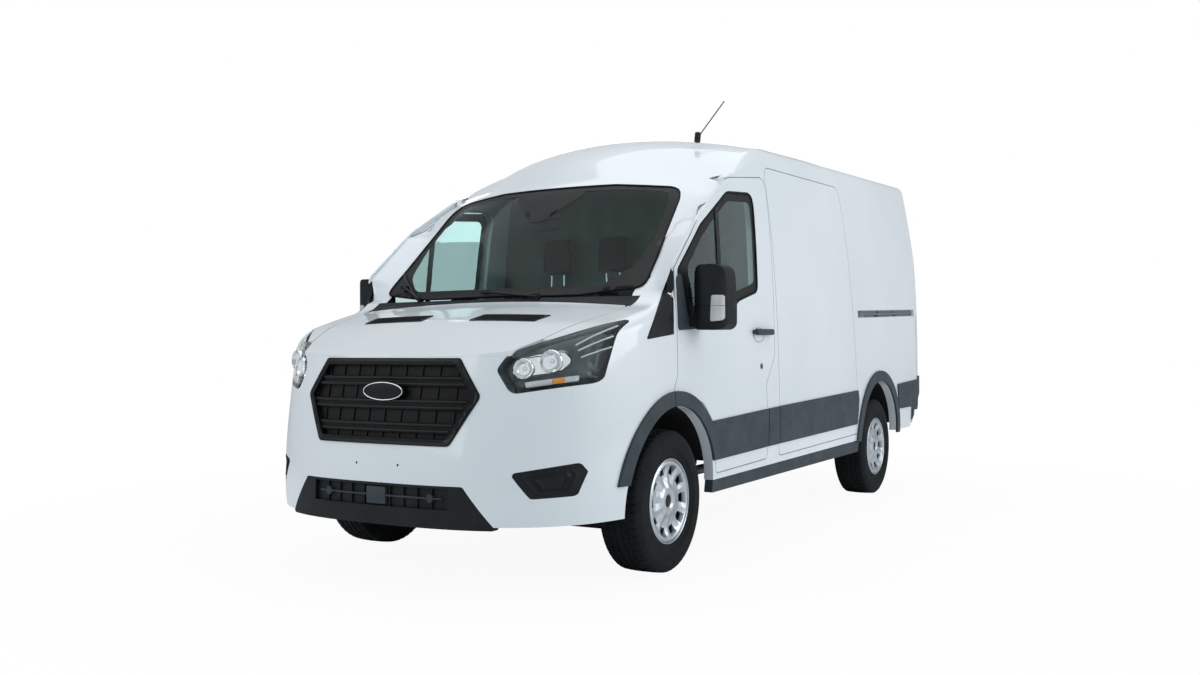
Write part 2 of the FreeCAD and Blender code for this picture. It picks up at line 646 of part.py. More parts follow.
TYRE_HALF = [(96, rim_radius + seat_gap, 0), (111, 240, 0), (tread_half, 275, 0), (106, 326, 0),
             (88, tyre_radius, 0)]
TYRE = TYRE_HALF + [(-along, radius, 0) for along, radius, _ in TYRE_HALF[::-1]]
RIM = [(-rim_half, rim_radius - rim_wall, 0), (-rim_half, rim_radius, 0), (rim_half, rim_radius, 0),
       (rim_half, rim_radius - rim_wall, 0)]
COVER = [(78, bore_radius, 0), (78, cover_radius, 0), (98, cover_radius, 0), (88, 140, 0), (84, 105, 0),
         (92, 66, 0), (92, bore_radius, 0)]
HUB = [(30, bore_radius, 0), (30, 66, 0), (80, 66, 0), (80, bore_radius, 0)]
CAP = [(87, 0, 0), (87, 31.05, 0), (95, 27, 0), (95, 0, 0)]


def wheel(x, axle_y):
    cover = turned(COVER, x, axle_y, hub_z)
    for k in range(SLOT_COUNT):
        slot = block(*SLOT)
        slot.rotate(V(0, 0, 0), V(1, 0, 0), 360 * k / SLOT_COUNT)
        slot.translate(V(x, axle_y, hub_z))
        cover = cover.cut(slot)
    return joined([cover] + [turned(profile, x, axle_y, hub_z) for profile in (RIM, HUB, CAP)])


for end, axle_y in (("front", front_axle_y), ("rear", rear_axle_y)):
    both_sides("wheel_" + end, wheel(track_half, axle_y))
    both_sides("tyre_" + end, turned(TYRE, track_half, axle_y, hub_z))

# Steering knuckles on ball pins, with a stub spindle for the hub
pin_x = 812.0
pin_radius = 11.0
pin_gap = 0.05
knuckle_half = 38.0
knuckle_rise = 120.0
KNUCKLE_X = (770, 850)
spindle_start = 840.0
spindle_end = 952.0
bore_length = 60.0
pin_length = 50.0
pin_root = 20.0
low_pin = V(pin_x, front_axle_y, hub_z - knuckle_rise)
high_pin = V(pin_x, front_axle_y, hub_z + knuckle_rise)


def upright_rod(radius, foot, below, above):
    return rod(radius, foot - V(0, 0, below), foot + V(0, 0, above))


knuckle = block(*KNUCKLE_X, front_axle_y - knuckle_half, front_axle_y + knuckle_half, low_pin.z, high_pin.z)
spindle = rod(spindle_radius, V(spindle_start, front_axle_y, hub_z), V(spindle_end, front_axle_y, hub_z))
knuckle = knuckle.fuse(spindle)
knuckle = knuckle.cut(upright_rod(pin_radius + pin_gap, low_pin, overrun, bore_length))
knuckle = knuckle.cut(upright_rod(pin_radius + pin_gap, high_pin, bore_length, overrun))
both_sides("knuckle", knuckle)

# Front subframe with control arms and struts
SUBFRAME = (-430, 430, -2280, -1560, 300, 360)
ARM = (400, 836, -1790, -1694, 192, 222)
ARM_POST = (400, 430, -1790, -1694, 222, 300)
STRUT_ARM = (666, 836, -1780, -1704, 476, 500)
STRUT_BRACE = (666, 706, -1780, -1704, 476, 812)
arm = block(*ARM).fuse(block(*ARM_POST)).fuse(upright_rod(pin_radius, low_pin, pin_root, pin_length))
strut = block(*STRUT_ARM).fuse(block(*STRUT_BRACE))
strut = strut.fuse(upright_rod(pin_radius, high_pin, pin_length, pin_root))
PARTS["front_subframe"] = joined([block(*SUBFRAME), arm, mirrored(arm)])
PARTS["struts"] = Part.makeCompound([strut, mirrored(strut)])
RAIL = (400, 470, -2440, -1290, 420, 500)
CROSS_MEMBER = (-470, 470, -2500, -2440, 400, 700)
ENGINE = (-330, 330, -2420, -1960, 360, 960)
rail = block(*RAIL)
PARTS["front_rails"] = joined([rail, mirrored(rail), block(*CROSS_MEMBER)])
PARTS["engine"] = block(*ENGINE)

# Rear axle with trailing arms and springs
tube_radius = 42.0
beam_end = 760.0
beam = rod(tube_radius, V(-beam_end, rear_axle_y, hub_z), V(beam_end, rear_axle_y, hub_z))
spindle_rod = rod(spindle_radius, V(-spindle_end, rear_axle_y, hub_z), V(spindle_end, rear_axle_y, hub_z))
TRAIL_ARM = (520, 580, 900, 1560, 310, 380)
TRAIL_POST = (520, 580, 900, 980, 380, 505)
SPRING_POST = (520, 580, 1500, 1616, 380, 505)
arms = [block(*box) for box in (TRAIL_ARM, TRAIL_POST, SPRING_POST)]
PARTS["rear_axle"] = joined([beam, spindle_rod] + arms + [mirrored(piece) for piece in arms])

# Load floor, cab floor, bulkhead, firewall and wheel housings
floor_z = 545.0
bulkhead_rear_y = -424.0
LOAD_FLOOR = (-1010, 1010, bulkhead_rear_y + seat_gap, 2560, 505, floor_z)
MIDDLE_FLOOR = (-1010, 1010, -1290, bulkhead_rear_y, 505, floor_z)
CAB_FLOOR = (-470, 470, -1830, -1290, 505, floor_z)
HOUSING_BOX = (400, reach_x, -2380, 2200, 505, 1000)
STRUT_HOLE = (470, 860, -1784, -1700, 470, 830)
front_housing_x = 474.0
rear_housing_x = 706.0
housing_gap = 5.0
housing_skin = 6.0
inside = side_form(wall + seat_gap)


def housing(axle_y, z, inner_x):
    outer_drum = arch(axle_y, z, arch_radius + housing_skin, inner_x, reach_x)
    inner_drum = arch(axle_y, z, arch_radius - seat_gap, inner_x + housing_skin, reach_x)
    return outer_drum.cut(inner_drum).common(inside).common(block(*HOUSING_BOX))


def housing_room(axle_y, z, inner_x):
    return arch(axle_y, z, arch_radius + housing_skin + seat_gap, inner_x - housing_gap, reach_x)


front_housing = housing(front_axle_y, front_arch_z, front_housing_x).cut(block(*STRUT_HOLE))
rear_housing = housing(rear_arch_y, rear_arch_z, rear_housing_x)
both_sides("wheel_housing", Part.makeCompound([largest(front_housing), largest(rear_housing)]))
rooms = [housing_room(front_axle_y, front_arch_z, front_housing_x),
         housing_room(rear_arch_y, rear_arch_z, rear_housing_x), door_cut, slider_cut]


def floor_panel(shape):
    sheet = shape.common(inside)
    for room in rooms:
        sheet = sheet.cut(room).cut(mirrored(room))
    return largest(sheet)


PARTS["load_floor"] = floor_panel(block(*LOAD_FLOOR))
PARTS["cab_floor"] = floor_panel(block(*MIDDLE_FLOOR).fuse(block(*CAB_FLOOR)))
BULKHEAD = (-1000, 1000, -452, bulkhead_rear_y, floor_z, 2500)
PARTS["bulkhead"] = largest(CAVITY.common(inside).common(block(*BULKHEAD)))
FIREWALL = (-905, 905, -1832, -1804, 830, 1300)
FIREWALL_FOOT = (-470, 470, -1832, -1804, floor_z, 830)
under_cowl = moved(TOP, LID_IN, 2 * bonnet_skin + seat_gap)
PARTS["firewall"] = largest(block(*FIREWALL).fuse(block(*FIREWALL_FOOT)).common(under_cowl))

# Dashboard, steering wheel and seats
DASH = [(-1802, 1040, 20), (-1802, 1290, 30), (-1640, 1330, 60), (-1440, 1310, 60), (-1400, 1180, 60),
        (-1460, 960, 60), (-1640, 930, 60)]
dash_half = 888.0
PARTS["dashboard"] = side_prism(DASH, 0.0, -dash_half, dash_half)
WHEEL_CENTRE = V(524, -1344, 1398)
wheel_tilt = 35.0
grip_ring = 188.0            # steering wheel, measured to the middle of its rim
grip_radius = 15.0
GRIP_SIDES = 8
boss_radius = 62.0
BOSS_Z = (-20, 10)
column_radius = 26.0
column_length = 160.0
SPOKES = [(-grip_ring, grip_ring, -16, 16, -9, 3), (-16, 16, -grip_ring, 0, -9, 3)]
grip_turns = [2 * math.pi * k / GRIP_SIDES for k in range(GRIP_SIDES + 1)]
grip_points = [V(grip_ring + grip_radius * math.cos(t), 0, grip_radius * math.sin(t)) for t in grip_turns]
grip = Part.Face(Part.makePolygon(grip_points)).revolve(V(0, 0, 0), V(0, 0, 1), 360)
boss = rod(boss_radius, V(0, 0, BOSS_Z[0]), V(0, 0, BOSS_Z[1]))
column = rod(column_radius, V(0, 0, -column_length), V(0, 0, 0))
steering = joined([grip, boss, column] + [block(*spoke) for spoke in SPOKES])
steering.rotate(V(0, 0, 0), V(1, 0, 0), wheel_tilt)
steering.translate(WHEEL_CENTRE)
PARTS["steering_wheel"] = steering.cut(PARTS["dashboard"])


# Seats: a box base, a cushion, a leaning back and headrests on two stems each
BASE = (-1120, -640, floor_z, 800)
base_inset = 40.0
CUSHION = [(-1185, 800, 20), (-620, 800, 0), (-620, 900, 20), (-1120, 935, 60), (-1190, 905, 40)]
BACKREST = [(-760, 900, 30), (-640, 900, 0), (-520, 1480, 40), (-625, 1480, 50)]
REST_SIDE = [(-605, 1555, 30), (-515, 1555, 30), (-505, 1785, 40), (-590, 1785, 40)]
rest_half = 105.0
rest_top_half = 97.0
REST_FRONT = [(-rest_half, 1555, 40), (rest_half, 1555, 40), (rest_top_half, 1785, 55),
              (-rest_top_half, 1785, 55)]
REST_Y = (-650, -450)
stem_radius = 7.0
stem_half = 48.0
STEM = (-555.0, 1440.0, 1580.0)              # y, from z, to z


def seat(x, width, headrests):
    half = width / 2
    solids = [block(x - half + base_inset, x + half - base_inset, *BASE)]
    solids += [side_prism(form, 0.0, x - half, x + half) for form in (CUSHION, BACKREST)]
    for offset in headrests:
        middle = x + offset
        front = front_prism([(middle + u, v, radius) for u, v, radius in REST_FRONT], *REST_Y)
        solids.append(front.common(side_prism(REST_SIDE, 0.0, middle - rest_half, middle + rest_half)))
        for stem_x in (middle - stem_half, middle + stem_half):
            solids.append(rod(stem_radius, V(stem_x, STEM[0], STEM[1]), V(stem_x, STEM[0], STEM[2])))
    return joined(solids)


PARTS["driver_seat"] = seat(500, 500, [0])
PARTS["passenger_seat"] = seat(-235, 900, [-205, 205])

# Fuel tank and exhaust under the floor
TANK = (-420, 140, -900, 260, 300, 505)
PARTS["fuel_tank"] = block(*TANK)
SILENCER = (430, 690, 330, 800, 300, 430)
HANGER = (540, 580, 500, 560, 430, 505)
pipe_radius = 28.0
PIPE_START = V(560, -700, 365)
PIPE_END = V(560, 880, 365)
PARTS["exhaust"] = joined([block(*SILENCER), rod(pipe_radius, PIPE_START, PIPE_END), block(*HANGER)])

os.makedirs("parts", exist_ok=True)
for name, shape in PARTS.items():
    shape.exportStep("parts/" + name + ".step")
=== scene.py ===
import math

import bmesh
import bpy
from mathutils import Matrix, Vector
from mathutils.bvhtree import BVHTree
from mathutils.geometry import delaunay_2d_cdt


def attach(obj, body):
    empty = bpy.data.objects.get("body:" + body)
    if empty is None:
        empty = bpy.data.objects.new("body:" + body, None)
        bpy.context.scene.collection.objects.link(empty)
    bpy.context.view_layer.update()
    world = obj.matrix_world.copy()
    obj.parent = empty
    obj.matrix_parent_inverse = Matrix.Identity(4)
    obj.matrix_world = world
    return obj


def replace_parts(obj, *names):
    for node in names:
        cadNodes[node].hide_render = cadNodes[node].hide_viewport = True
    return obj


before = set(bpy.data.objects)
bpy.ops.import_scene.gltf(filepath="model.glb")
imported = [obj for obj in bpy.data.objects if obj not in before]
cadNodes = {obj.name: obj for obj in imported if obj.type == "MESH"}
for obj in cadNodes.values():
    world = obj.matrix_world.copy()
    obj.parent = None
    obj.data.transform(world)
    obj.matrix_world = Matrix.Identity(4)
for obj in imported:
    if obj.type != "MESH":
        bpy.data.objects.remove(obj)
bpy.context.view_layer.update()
scene = bpy.context.scene
print("frame loaded")


# Small helpers

def linear(hexColour, alpha=1.0):
    channels = []
    for k in (1, 3, 5):
        c = int(hexColour[k:k + 2], 16) / 255
        channels.append(c / 12.92 if c <= 0.04045 else ((c + 0.055) / 1.055) ** 2.4)
    return (*channels, alpha)


# sets what a node has itself or else its inputs, with _ for a space in their names
def setNode(node, **settings):
    for key, value in settings.items():
        if hasattr(node, key):
            setattr(node, key, value)
        else:
            node.inputs[key.replace("_", " ")].default_value = value


def addNode(tree, kind, **settings):
    node = tree.nodes.new("ShaderNode" + kind)
    setNode(node, **settings)
    return node


def link(tree, source, output, target, into):
    tree.links.new(source.outputs[output], target.inputs[into])


def newMaterial(name):
    material = bpy.data.materials.new(name)
    material.use_nodes = True
    tree = material.node_tree
    return material, tree, tree.nodes["Principled BSDF"]


# a noise whose blobs are about size metres across
def addNoise(tree, size, **settings):
    place = addNode(tree, "TexCoord")
    noise = addNode(tree, "TexNoise", Scale=1 / size, **settings)
    link(tree, place, "Object", noise, "Vector")
    return noise


def twoTone(tree, shader, first, second, size):
    noise = addNoise(tree, size, Detail=3.0)
    ramp = addNode(tree, "ValToRGB")
    for stop, position, colour in zip(ramp.color_ramp.elements, (0.35, 0.65), (first, second)):
        stop.position, stop.color = position, linear(colour)
    link(tree, noise, "Fac", ramp, "Fac")
    link(tree, ramp, "Color", shader, "Base Color")


# a fine surface relief: size across and depth deep, both in metres
def grain(tree, shader, size, depth, strength):
    noise = addNoise(tree, size)
    bump = addNode(tree, "Bump", Strength=strength, Distance=depth)
    link(tree, noise, "Fac", bump, "Height")
    link(tree, bump, "Normal", shader, "Normal")


def roughnessPatches(tree, shader, low, high, size):
    noise = addNoise(tree, size, Detail=4.0)
    spread = addNode(tree, "MapRange", To_Min=low, To_Max=high)
    link(tree, noise, "Fac", spread, "Value")
    link(tree, spread, "Result", shader, "Roughness")


# Materials

paint = {"base": "#E2EAEE", "shade": "#DAE4E9", "patch": 0.9, "roughness": 0.32, "coat": 0.9,
         "coatRoughness": 0.05, "waviness": (0.004, 0.00006, 0.25)}
plastic = {"patch": 0.12, "shine": 0.22, "roughPatch": 0.05, "grainStrength": 0.6}
glass = {"patch": 0.6}
metal = {"grainStrength": 0.4}
cloth = {"patch": 0.004, "roughness": 0.95, "sheen": 0.3, "threads": (0.0012, 0.0002, 0.3)}


# two close colours in patches, with a relief (size, depth, strength) and wear (low, high, size)
def makeFinish(name, first, second, patch, relief=None, wear=None, **settings):
    material, tree, shader = newMaterial(name)
    twoTone(tree, shader, first, second, patch)
    setNode(shader, **settings)
    if wear:
        roughnessPatches(tree, shader, *wear)
    if relief:
        grain(tree, shader, *relief)
    return material


def makePaint():
    # cool white vehicle paint under a clear coat, with the slight waviness of sprayed sheet metal
    return makeFinish("whitePaint", paint["base"], paint["shade"], paint["patch"], paint["waviness"],
                      Roughness=paint["roughness"], Coat_Weight=paint["coat"],
                      Coat_Roughness=paint["coatRoughness"])


def makePlastic(name, first, second, low, high, grainSize, grainDepth):
    # moulded plastic with a fine leather-like grain
    relief = (grainSize, grainDepth, plastic["grainStrength"])
    return makeFinish(name, first, second, plastic["patch"], relief, (low, high, plastic["roughPatch"]),
                      Specular_IOR_Level=plastic["shine"])


def makeGlass(name, tint, nearTint, bending=1.14):
    # tinted float glass, seen through and reflecting at shallow angles
    return makeFinish(name, tint, nearTint, glass["patch"], Transmission_Weight=1.0, Roughness=0.0,
                      IOR=bending)


def makeMetal(name, first, second, low, high, patch, bumpSize=0.002, bumpDepth=0.00002):
    # bare, plated or metallic-painted metal with patches of wear
    relief = (bumpSize, bumpDepth, metal["grainStrength"])
    return makeFinish(name, first, second, patch, relief, (low, high, patch), Metallic=1.0)


def makeCloth(name, first, second):
    # woven seat cloth, threads about a millimetre wide
    return makeFinish(name, first, second, cloth["patch"], cloth["threads"],
                      Roughness=cloth["roughness"], Sheen_Weight=cloth["sheen"])


finish = {
    "paint": makePaint(),
    "blackPlastic": makePlastic("grainedBlackPlastic", "#12181B", "#1A2023", 0.5, 0.68, 0.0016, 0.00012),
    "greyPlastic": makePlastic("grainedGreyPlastic", "#363F44", "#3E484D", 0.52, 0.7, 0.0018, 0.00014),
    "satinBlack": makePlastic("satinBlackPlastic", "#090D0F", "#101517", 0.25, 0.4, 0.003, 0.00003),
    # black rubber for the seals and wiper blades, also painted shade in gaps, holes and wheel cover slots
    "gapBlack": makePlastic("blackRubberSeal", "#08080A", "#0E0E0F", 0.7, 0.85, 0.002, 0.00005),
    "liner": makePlastic("wheelHousingLiner", "#101112", "#1A1B1C", 0.7, 0.9, 0.003, 0.0003),
    "frit": makePlastic("blackScreenBorder", "#07090A", "#0C0F10", 0.35, 0.45, 0.004, 0.00001),
    # the grille's backing and ribs darker than its black plastic: painted shade in the recesses between the
    # bars
    "grilleDark": makePlastic("deepGrilleBlack", "#040506", "#080A0B", 0.5, 0.65, 0.003, 0.00003),
    "railGrey": makeMetal("slidingRailSteel", "#8E979C", "#7F898E", 0.4, 0.55, 0.05, 0.001, 0.00008),
    "dash": makePlastic("dashboardPlastic", "#1C2326", "#232A2D", 0.6, 0.75, 0.0015, 0.00015),
    "bezel": makePlastic("lampBezelPlastic", "#474F53", "#545D61", 0.22, 0.35, 0.004, 0.00002),
    "lens": makeGlass("clearLampLens", "#F4F7F8", "#F1F5F6"),
    "clearBlinker": makePlastic("clearBlinkerLens", "#C4C8CA", "#B7BCBF", 0.08, 0.16, 0.003, 0.0003),
    "seamGrey": makePlastic("roofSeamSealer", "#9EA6AB", "#959DA3", 0.5, 0.65, 0.003, 0.00005),
    "amber": makePlastic("amberIndicatorLens", "#D9822B", "#E39A4A", 0.1, 0.2, 0.003, 0.0002),
    "redLens": makePlastic("redLampLens", "#8E1418", "#A01A1E", 0.08, 0.16, 0.003, 0.0002),
    "screenGlass": makeGlass("tintedScreenGlass", "#BFD3D0", "#BBCFCC"),
    "doorGlass": makeGlass("tintedDoorGlass", "#C6DCDD", "#C1D8D9", 1.4),
    "chrome": makeMetal("chromeReflector", "#E6E8EA", "#DCDFE2", 0.05, 0.12, 0.05),
    "wheelSilver": makeMetal("silverWheelPaint", "#C4CBCF", "#B9C1C6", 0.32, 0.42, 0.06),
    "steel": makeMetal("dullSteel", "#6E6D6A", "#5C5A57", 0.45, 0.6, 0.05, 0.001, 0.0001),
    "castIron": makeMetal("castIron", "#3B3A39", "#312F2E", 0.6, 0.75, 0.04, 0.002, 0.0003),
    "mirrorGlass": makeMetal("mirrorGlass", "#D8DCDF", "#D2D7DA", 0.02, 0.05, 0.1),
    "chassis": makePlastic("blackChassisPaint", "#141414", "#1D1C1B", 0.45, 0.7, 0.003, 0.0001),
    "primer": makePlastic("greyFloorPaint", "#8F9295", "#83868A", 0.5, 0.65, 0.004, 0.0001),
    "bulkhead": makePlastic("greyGreenBulkhead", "#6F7F79", "#66756F", 0.5, 0.65, 0.004, 0.0001),
    "cloth": makeCloth("darkSeatCloth", "#0F1315", "#1A1F22"),
    "tyre": makePlastic("tyreRubber", "#0F1416", "#171C1E", 0.75, 0.9, 0.002, 0.0001),
}
print("materials made")

# the model's nodes by finish, named without their side
nodesOf = {
    "paint": "roof body_side front_door sliding_door rear_door bonnet front_wing front_bumper",
    "doorGlass": "door_glass",
    "screenGlass": "windscreen",
    "blackPlastic": "cowl lower_grille mirror aerial",
    "grilleDark": "grille",
    "greyPlastic": "side_moulding door_moulding rear_bumper",
    "redLens": "tail_lamps",
    "bezel": "headlamp",
    "wheelSilver": "wheel_front wheel_rear",
    "tyre": "tyre_front tyre_rear",
    "castIron": "knuckle engine",
    "chassis": "front_subframe struts front_rails rear_axle",
    "liner": "wheel_housing firewall fuel_tank",
    "primer": "load_floor",
    "bulkhead": "bulkhead",
    "dash": "cab_floor dashboard steering_wheel",
    "cloth": "driver_seat passenger_seat",
    "steel": "exhaust",
}
nodeFinish = {node: kind for kind, nodes in nodesOf.items() for node in nodes.split()}


# joins the facets' corners and shades flat only across edges sharper than angle
def smoothly(piece, angle=32):
    for face in piece.data.polygons:
        face.use_smooth = True
    weld = piece.modifiers.new("weld", "WELD")
    weld.merge_threshold = 0.00002
    split = piece.modifiers.new("creases", "EDGE_SPLIT")
    split.split_angle = math.radians(angle)


def withoutSide(name):
    return name.replace("_left", "").replace("_right", "")


for name, node in cadNodes.items():
    node.data.materials.clear()
    node.data.materials.append(finish[nodeFinish[withoutSide(name)]])
    smoothly(node)
print("model painted")


def addPiece(name, data, material, body, smoothAngle=None):
    piece = bpy.data.objects.new(name, data)
    scene.collection.objects.link(piece)
    data.materials.append(finish[material])
    if smoothAngle:
        smoothly(piece, smoothAngle)
    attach(piece, body)
    return piece


def meshOf(name, vertices, faces):
    mesh = bpy.data.meshes.new(name)
    mesh.from_pydata([tuple(v) for v in vertices], [], faces)
    mesh.update()
    return mesh


# one search tree over several nodes of the model
def treeOf(*names):
    vertices, faces = [], []
    for name in names:
        data = cadNodes[name].data if name in cadNodes else bpy.data.objects[name].data
        start = len(vertices)
        vertices += [v.co.copy() for v in data.vertices]
        faces += [[start + k for k in p.vertices] for p in data.polygons]
    return BVHTree.FromPolygons(vertices, faces)


def insideOutline(point, ring):
    hit = False
    for (x0, y0), (x1, y1) in zip(ring, ring[1:] + ring[:1]):
        if (y0 > point[1]) != (y1 > point[1]) and point[0] < (x1 - x0) * (point[1] - y0) / (y1 - y0) + x0:
            hit = not hit
    return hit


# a closed outline with its corners rounded, each point may carry its own radius
def rounded(points, radius, steps=5):
    ring = []
    count = len(points)
    for k in range(count):
        here = Vector(points[k][:2])
        before = Vector(points[k - 1][:2]) - here
        after = Vector(points[(k + 1) % count][:2]) - here
        size = points[k][2] if len(points[k]) > 2 else radius
        angle = before.angle(after)
        reach = min(size / math.tan(angle / 2), before.length * 0.49, after.length * 0.49)
        start, end = here + before.normalized() * reach, here + after.normalized() * reach
        for step in range(steps + 1):
            t = step / steps
            ring.append(tuple(start * (1 - t) ** 2 + here * 2 * t * (1 - t) + end * t ** 2))
    return ring


def dense(ring, cell):
    points = []
    for a, b in zip(ring, ring[1:] + ring[:1]):
        a, b = Vector(a), Vector(b)
        parts = max(1, int((b - a).length / cell))
        points += [tuple(a.lerp(b, k / parts)) for k in range(parts)]
    return points


corner = {"across": 0.858, "along": 0.513, "start": (1.54, -2.57)}


# rays from between the front and a side, u along the line across that direction
def fromCorner(sign):
    across, along, (x, y) = corner["across"], corner["along"], corner["start"]
    ray = Vector((-sign * along, across, 0))
    return lambda u, v: (Vector((sign * (across * u + x), along * u + y, v)), ray)


farOff = {"side": 1.6, "end": 3.2}
viewPlanes = {
    # the start of a ray and its direction, from a point of the outline
    "left": lambda u, v: (Vector((farOff["side"], u, v)), Vector((-1, 0, 0))),
    "right": lambda u, v: (Vector((-farOff["side"], u, v)), Vector((1, 0, 0))),
    "front": lambda u, v: (Vector((u, -farOff["end"], v)), Vector((0, 1, 0))),
    "rear": lambda u, v: (Vector((u, farOff["end"], v)), Vector((0, -1, 0))),
    "top": lambda u, v: (Vector((u, v, farOff["end"])), Vector((0, 0, -1))),
    "left_corner": fromCorner(1),
    "right_corner": fromCorner(-1),
}
skin = {"clearOfEdge": 0.45, "steep": 0.5}


# a skin cut to an outline and laid on the model along one direction, lift above it
def drape(name, ring, plane, tree, material, body="body", lift=0.001, thick=0.0,
          hole=None, cell=0.03):
    start = viewPlanes[plane]
    outer = dense(ring, cell)
    rings = [outer] + ([dense(hole, cell)] if hole else [])
    flat = [Vector(p) for r in rings for p in r]
    edges, base = [], 0
    for r in rings:
        edges += [(base + k, base + (k + 1) % len(r)) for k in range(len(r))]
        base += len(r)
    lows = [min(p[k] for p in outer) for k in (0, 1)]
    highs = [max(p[k] for p in outer) for k in (0, 1)]
    u = lows[0] + cell / 2
    while u < highs[0]:
        v = lows[1] + cell / 2
        while v < highs[1]:
            spot = (u, v)
            if insideOutline(spot, ring) and not (hole and insideOutline(spot, hole)):
                if min((Vector(spot) - p).length for p in flat[:base]) > cell * skin["clearOfEdge"]:
                    flat.append(Vector(spot))
            v += cell
        u += cell
    points, _, triangles, _, _, _ = delaunay_2d_cdt(flat, edges, [], 0, 1e-6)
    placed = []
    for p in points:
        origin, direction = start(p.x, p.y)
        hit, normal, _, _ = tree.ray_cast(origin, direction)
        if hit is None:
            placed.append(None)
            continue
        if normal.dot(direction) > 0:
            normal = -normal
        facesRay = abs(normal.dot(direction)) > skin["steep"]
        placed.append(hit - direction * lift if facesRay else hit + normal * lift)
    faces = []
    for face in triangles:
        middle = sum((points[k] for k in face), Vector((0, 0))) / len(face)
        wanted = insideOutline(middle, ring) and not (hole and insideOutline(middle, hole))
        if wanted and all(placed[k] is not None for k in face):
            faces.append(face)
    used = sorted({k for face in faces for k in face})
    index = {k: n for n, k in enumerate(used)}
    mesh = meshOf(name, [placed[k] for k in used], [[index[k] for k in face] for face in faces])
    facing = sum((p.normal * p.area for p in mesh.polygons), Vector())
    if facing.dot(start(0, 0)[1]) > 0:
        mesh.flip_normals()
    piece = addPiece(name, mesh, material, body)
    for face in mesh.polygons:
        face.use_smooth = True
    if thick:
        solid = piece.modifiers.new("thickness", "SOLIDIFY")
        solid.thickness, solid.offset = thick, -1
    return piece


def tube(name, points, radius, material, body="body", closed=False):
    curve = bpy.data.curves.new(name, "CURVE")
    curve.dimensions = "3D"
    spline = curve.splines.new("POLY")
    spline.points.add(len(points) - 1)
    for k, p in enumerate(points):
        spline.points[k].co = (*p, 1)
    spline.use_cyclic_u = closed
    curve.bevel_depth = radius
    curve.bevel_resolution = 3
    curve.use_fill_caps = not closed
    return addPiece(name, curve, material, body)


# the points of a view that meet the model, lift above it
def onSurface(points, plane, tree, lift):
    found = []
    for u, v in points:
        origin, direction = viewPlanes[plane](u, v)
        hit, normal, _, _ = tree.ray_cast(origin, direction)
        if hit is not None:
            found.append(hit - direction * lift)
    return found


def spotOn(place, plane, tree, lift=0.0):
    return onSurface([place], plane, tree, lift)[0]


# rings of quads round a closed turn, each with count points
def ringFaces(rings, count):
    faces = []
    for s in range(rings):
        here, there = s * count, (s + 1) % rings * count
        faces += [[here + k, here + k + 1, there + k + 1, there + k] for k in range(count - 1)]
    return faces


# turns (along, radius) pairs about an axis through centre
def lathe(name, profile, material, body, centre=(0, 0, 0), axis="X", segments=64,
          smoothAngle=30):
    vertices = []
    for s in range(segments):
        turn = 2 * math.pi * s / segments
        c, d = math.cos(turn), math.sin(turn)
        for along, radius in profile:
            local = {"X": (along, radius * c, radius * d), "Y": (radius * c, along, radius * d),
                     "Z": (radius * c, radius * d, along)}[axis]
            vertices.append(Vector(local) + Vector(centre))
    mesh = meshOf(name, vertices, ringFaces(segments, len(profile)))
    return addPiece(name, mesh, material, body, smoothAngle)


def roundedBox(name, low, high, bevel, material, body="body", segments=3,
               turn=None):
    mesh = bpy.data.meshes.new(name)
    work = bmesh.new()
    bmesh.ops.create_cube(work, size=1.0)
    low, high = Vector(low), Vector(high)
    for v in work.verts:
        v.co = Vector([low[k] + (v.co[k] + 0.5) * (high[k] - low[k]) for k in range(3)])
    bmesh.ops.bevel(work, geom=work.edges[:], offset=bevel, segments=segments, affect="EDGES", profile=0.5)
    if turn:
        middle = (low + high) / 2
        bmesh.ops.rotate(work, verts=work.verts, cent=middle, matrix=turn)
    work.to_mesh(mesh)
    work.free()
    for face in mesh.polygons:
        face.use_smooth = True
    piece = addPiece(name, mesh, material, body)
    split = piece.modifiers.new("creases", "EDGE_SPLIT")
    split.split_angle = math.radians(40)
    return piece


# an outline on the left side, or mirrored to the right one
def flipped(points, sign):
    return [(sign * p[0], *p[1:]) for p in points]


sides = (("left", 1), ("right", -1))

# Glass surrounds, seals and the windscreen's black border

screen = {
    "outline": [(-0.836, 1.398, 0.05), (-0.766, 1.960, 0.11), (-0.38, 1.993, 0.3), (0.38, 1.993, 0.3),
                (0.766, 1.960, 0.11), (0.836, 1.398, 0.05), (0.50, 1.362, 0.3), (-0.50, 1.362, 0.3)],
    "clear": [(-0.60, 1.408, 0.12), (-0.725, 1.50, 0.12), (-0.752, 1.67, 0.1), (-0.715, 1.936, 0.09),
              (-0.40, 1.964, 0.2), (0.40, 1.964, 0.2), (0.715, 1.936, 0.09), (0.752, 1.67, 0.1),
              (0.725, 1.50, 0.12), (0.60, 1.408, 0.12)],
    "patch": [(-0.040, 1.790), (-0.250, 1.966), (0.250, 1.966), (0.040, 1.790)],
}
screenTree = treeOf("windscreen")
ring = rounded(screen["outline"], 0.05)
drape("screenBorder", ring, "front", screenTree, "frit", "body", lift=0.0008,
      hole=rounded(screen["clear"], 0.05))
drape("sensorPatch", rounded(screen["patch"], 0.02), "front", screenTree, "frit", "body",
      lift=0.0011)
sealLine = onSurface(dense(ring, 0.03), "front", screenTree, 0.002)
tube("screenSeal", sealLine, 0.005, "gapBlack", closed=True)

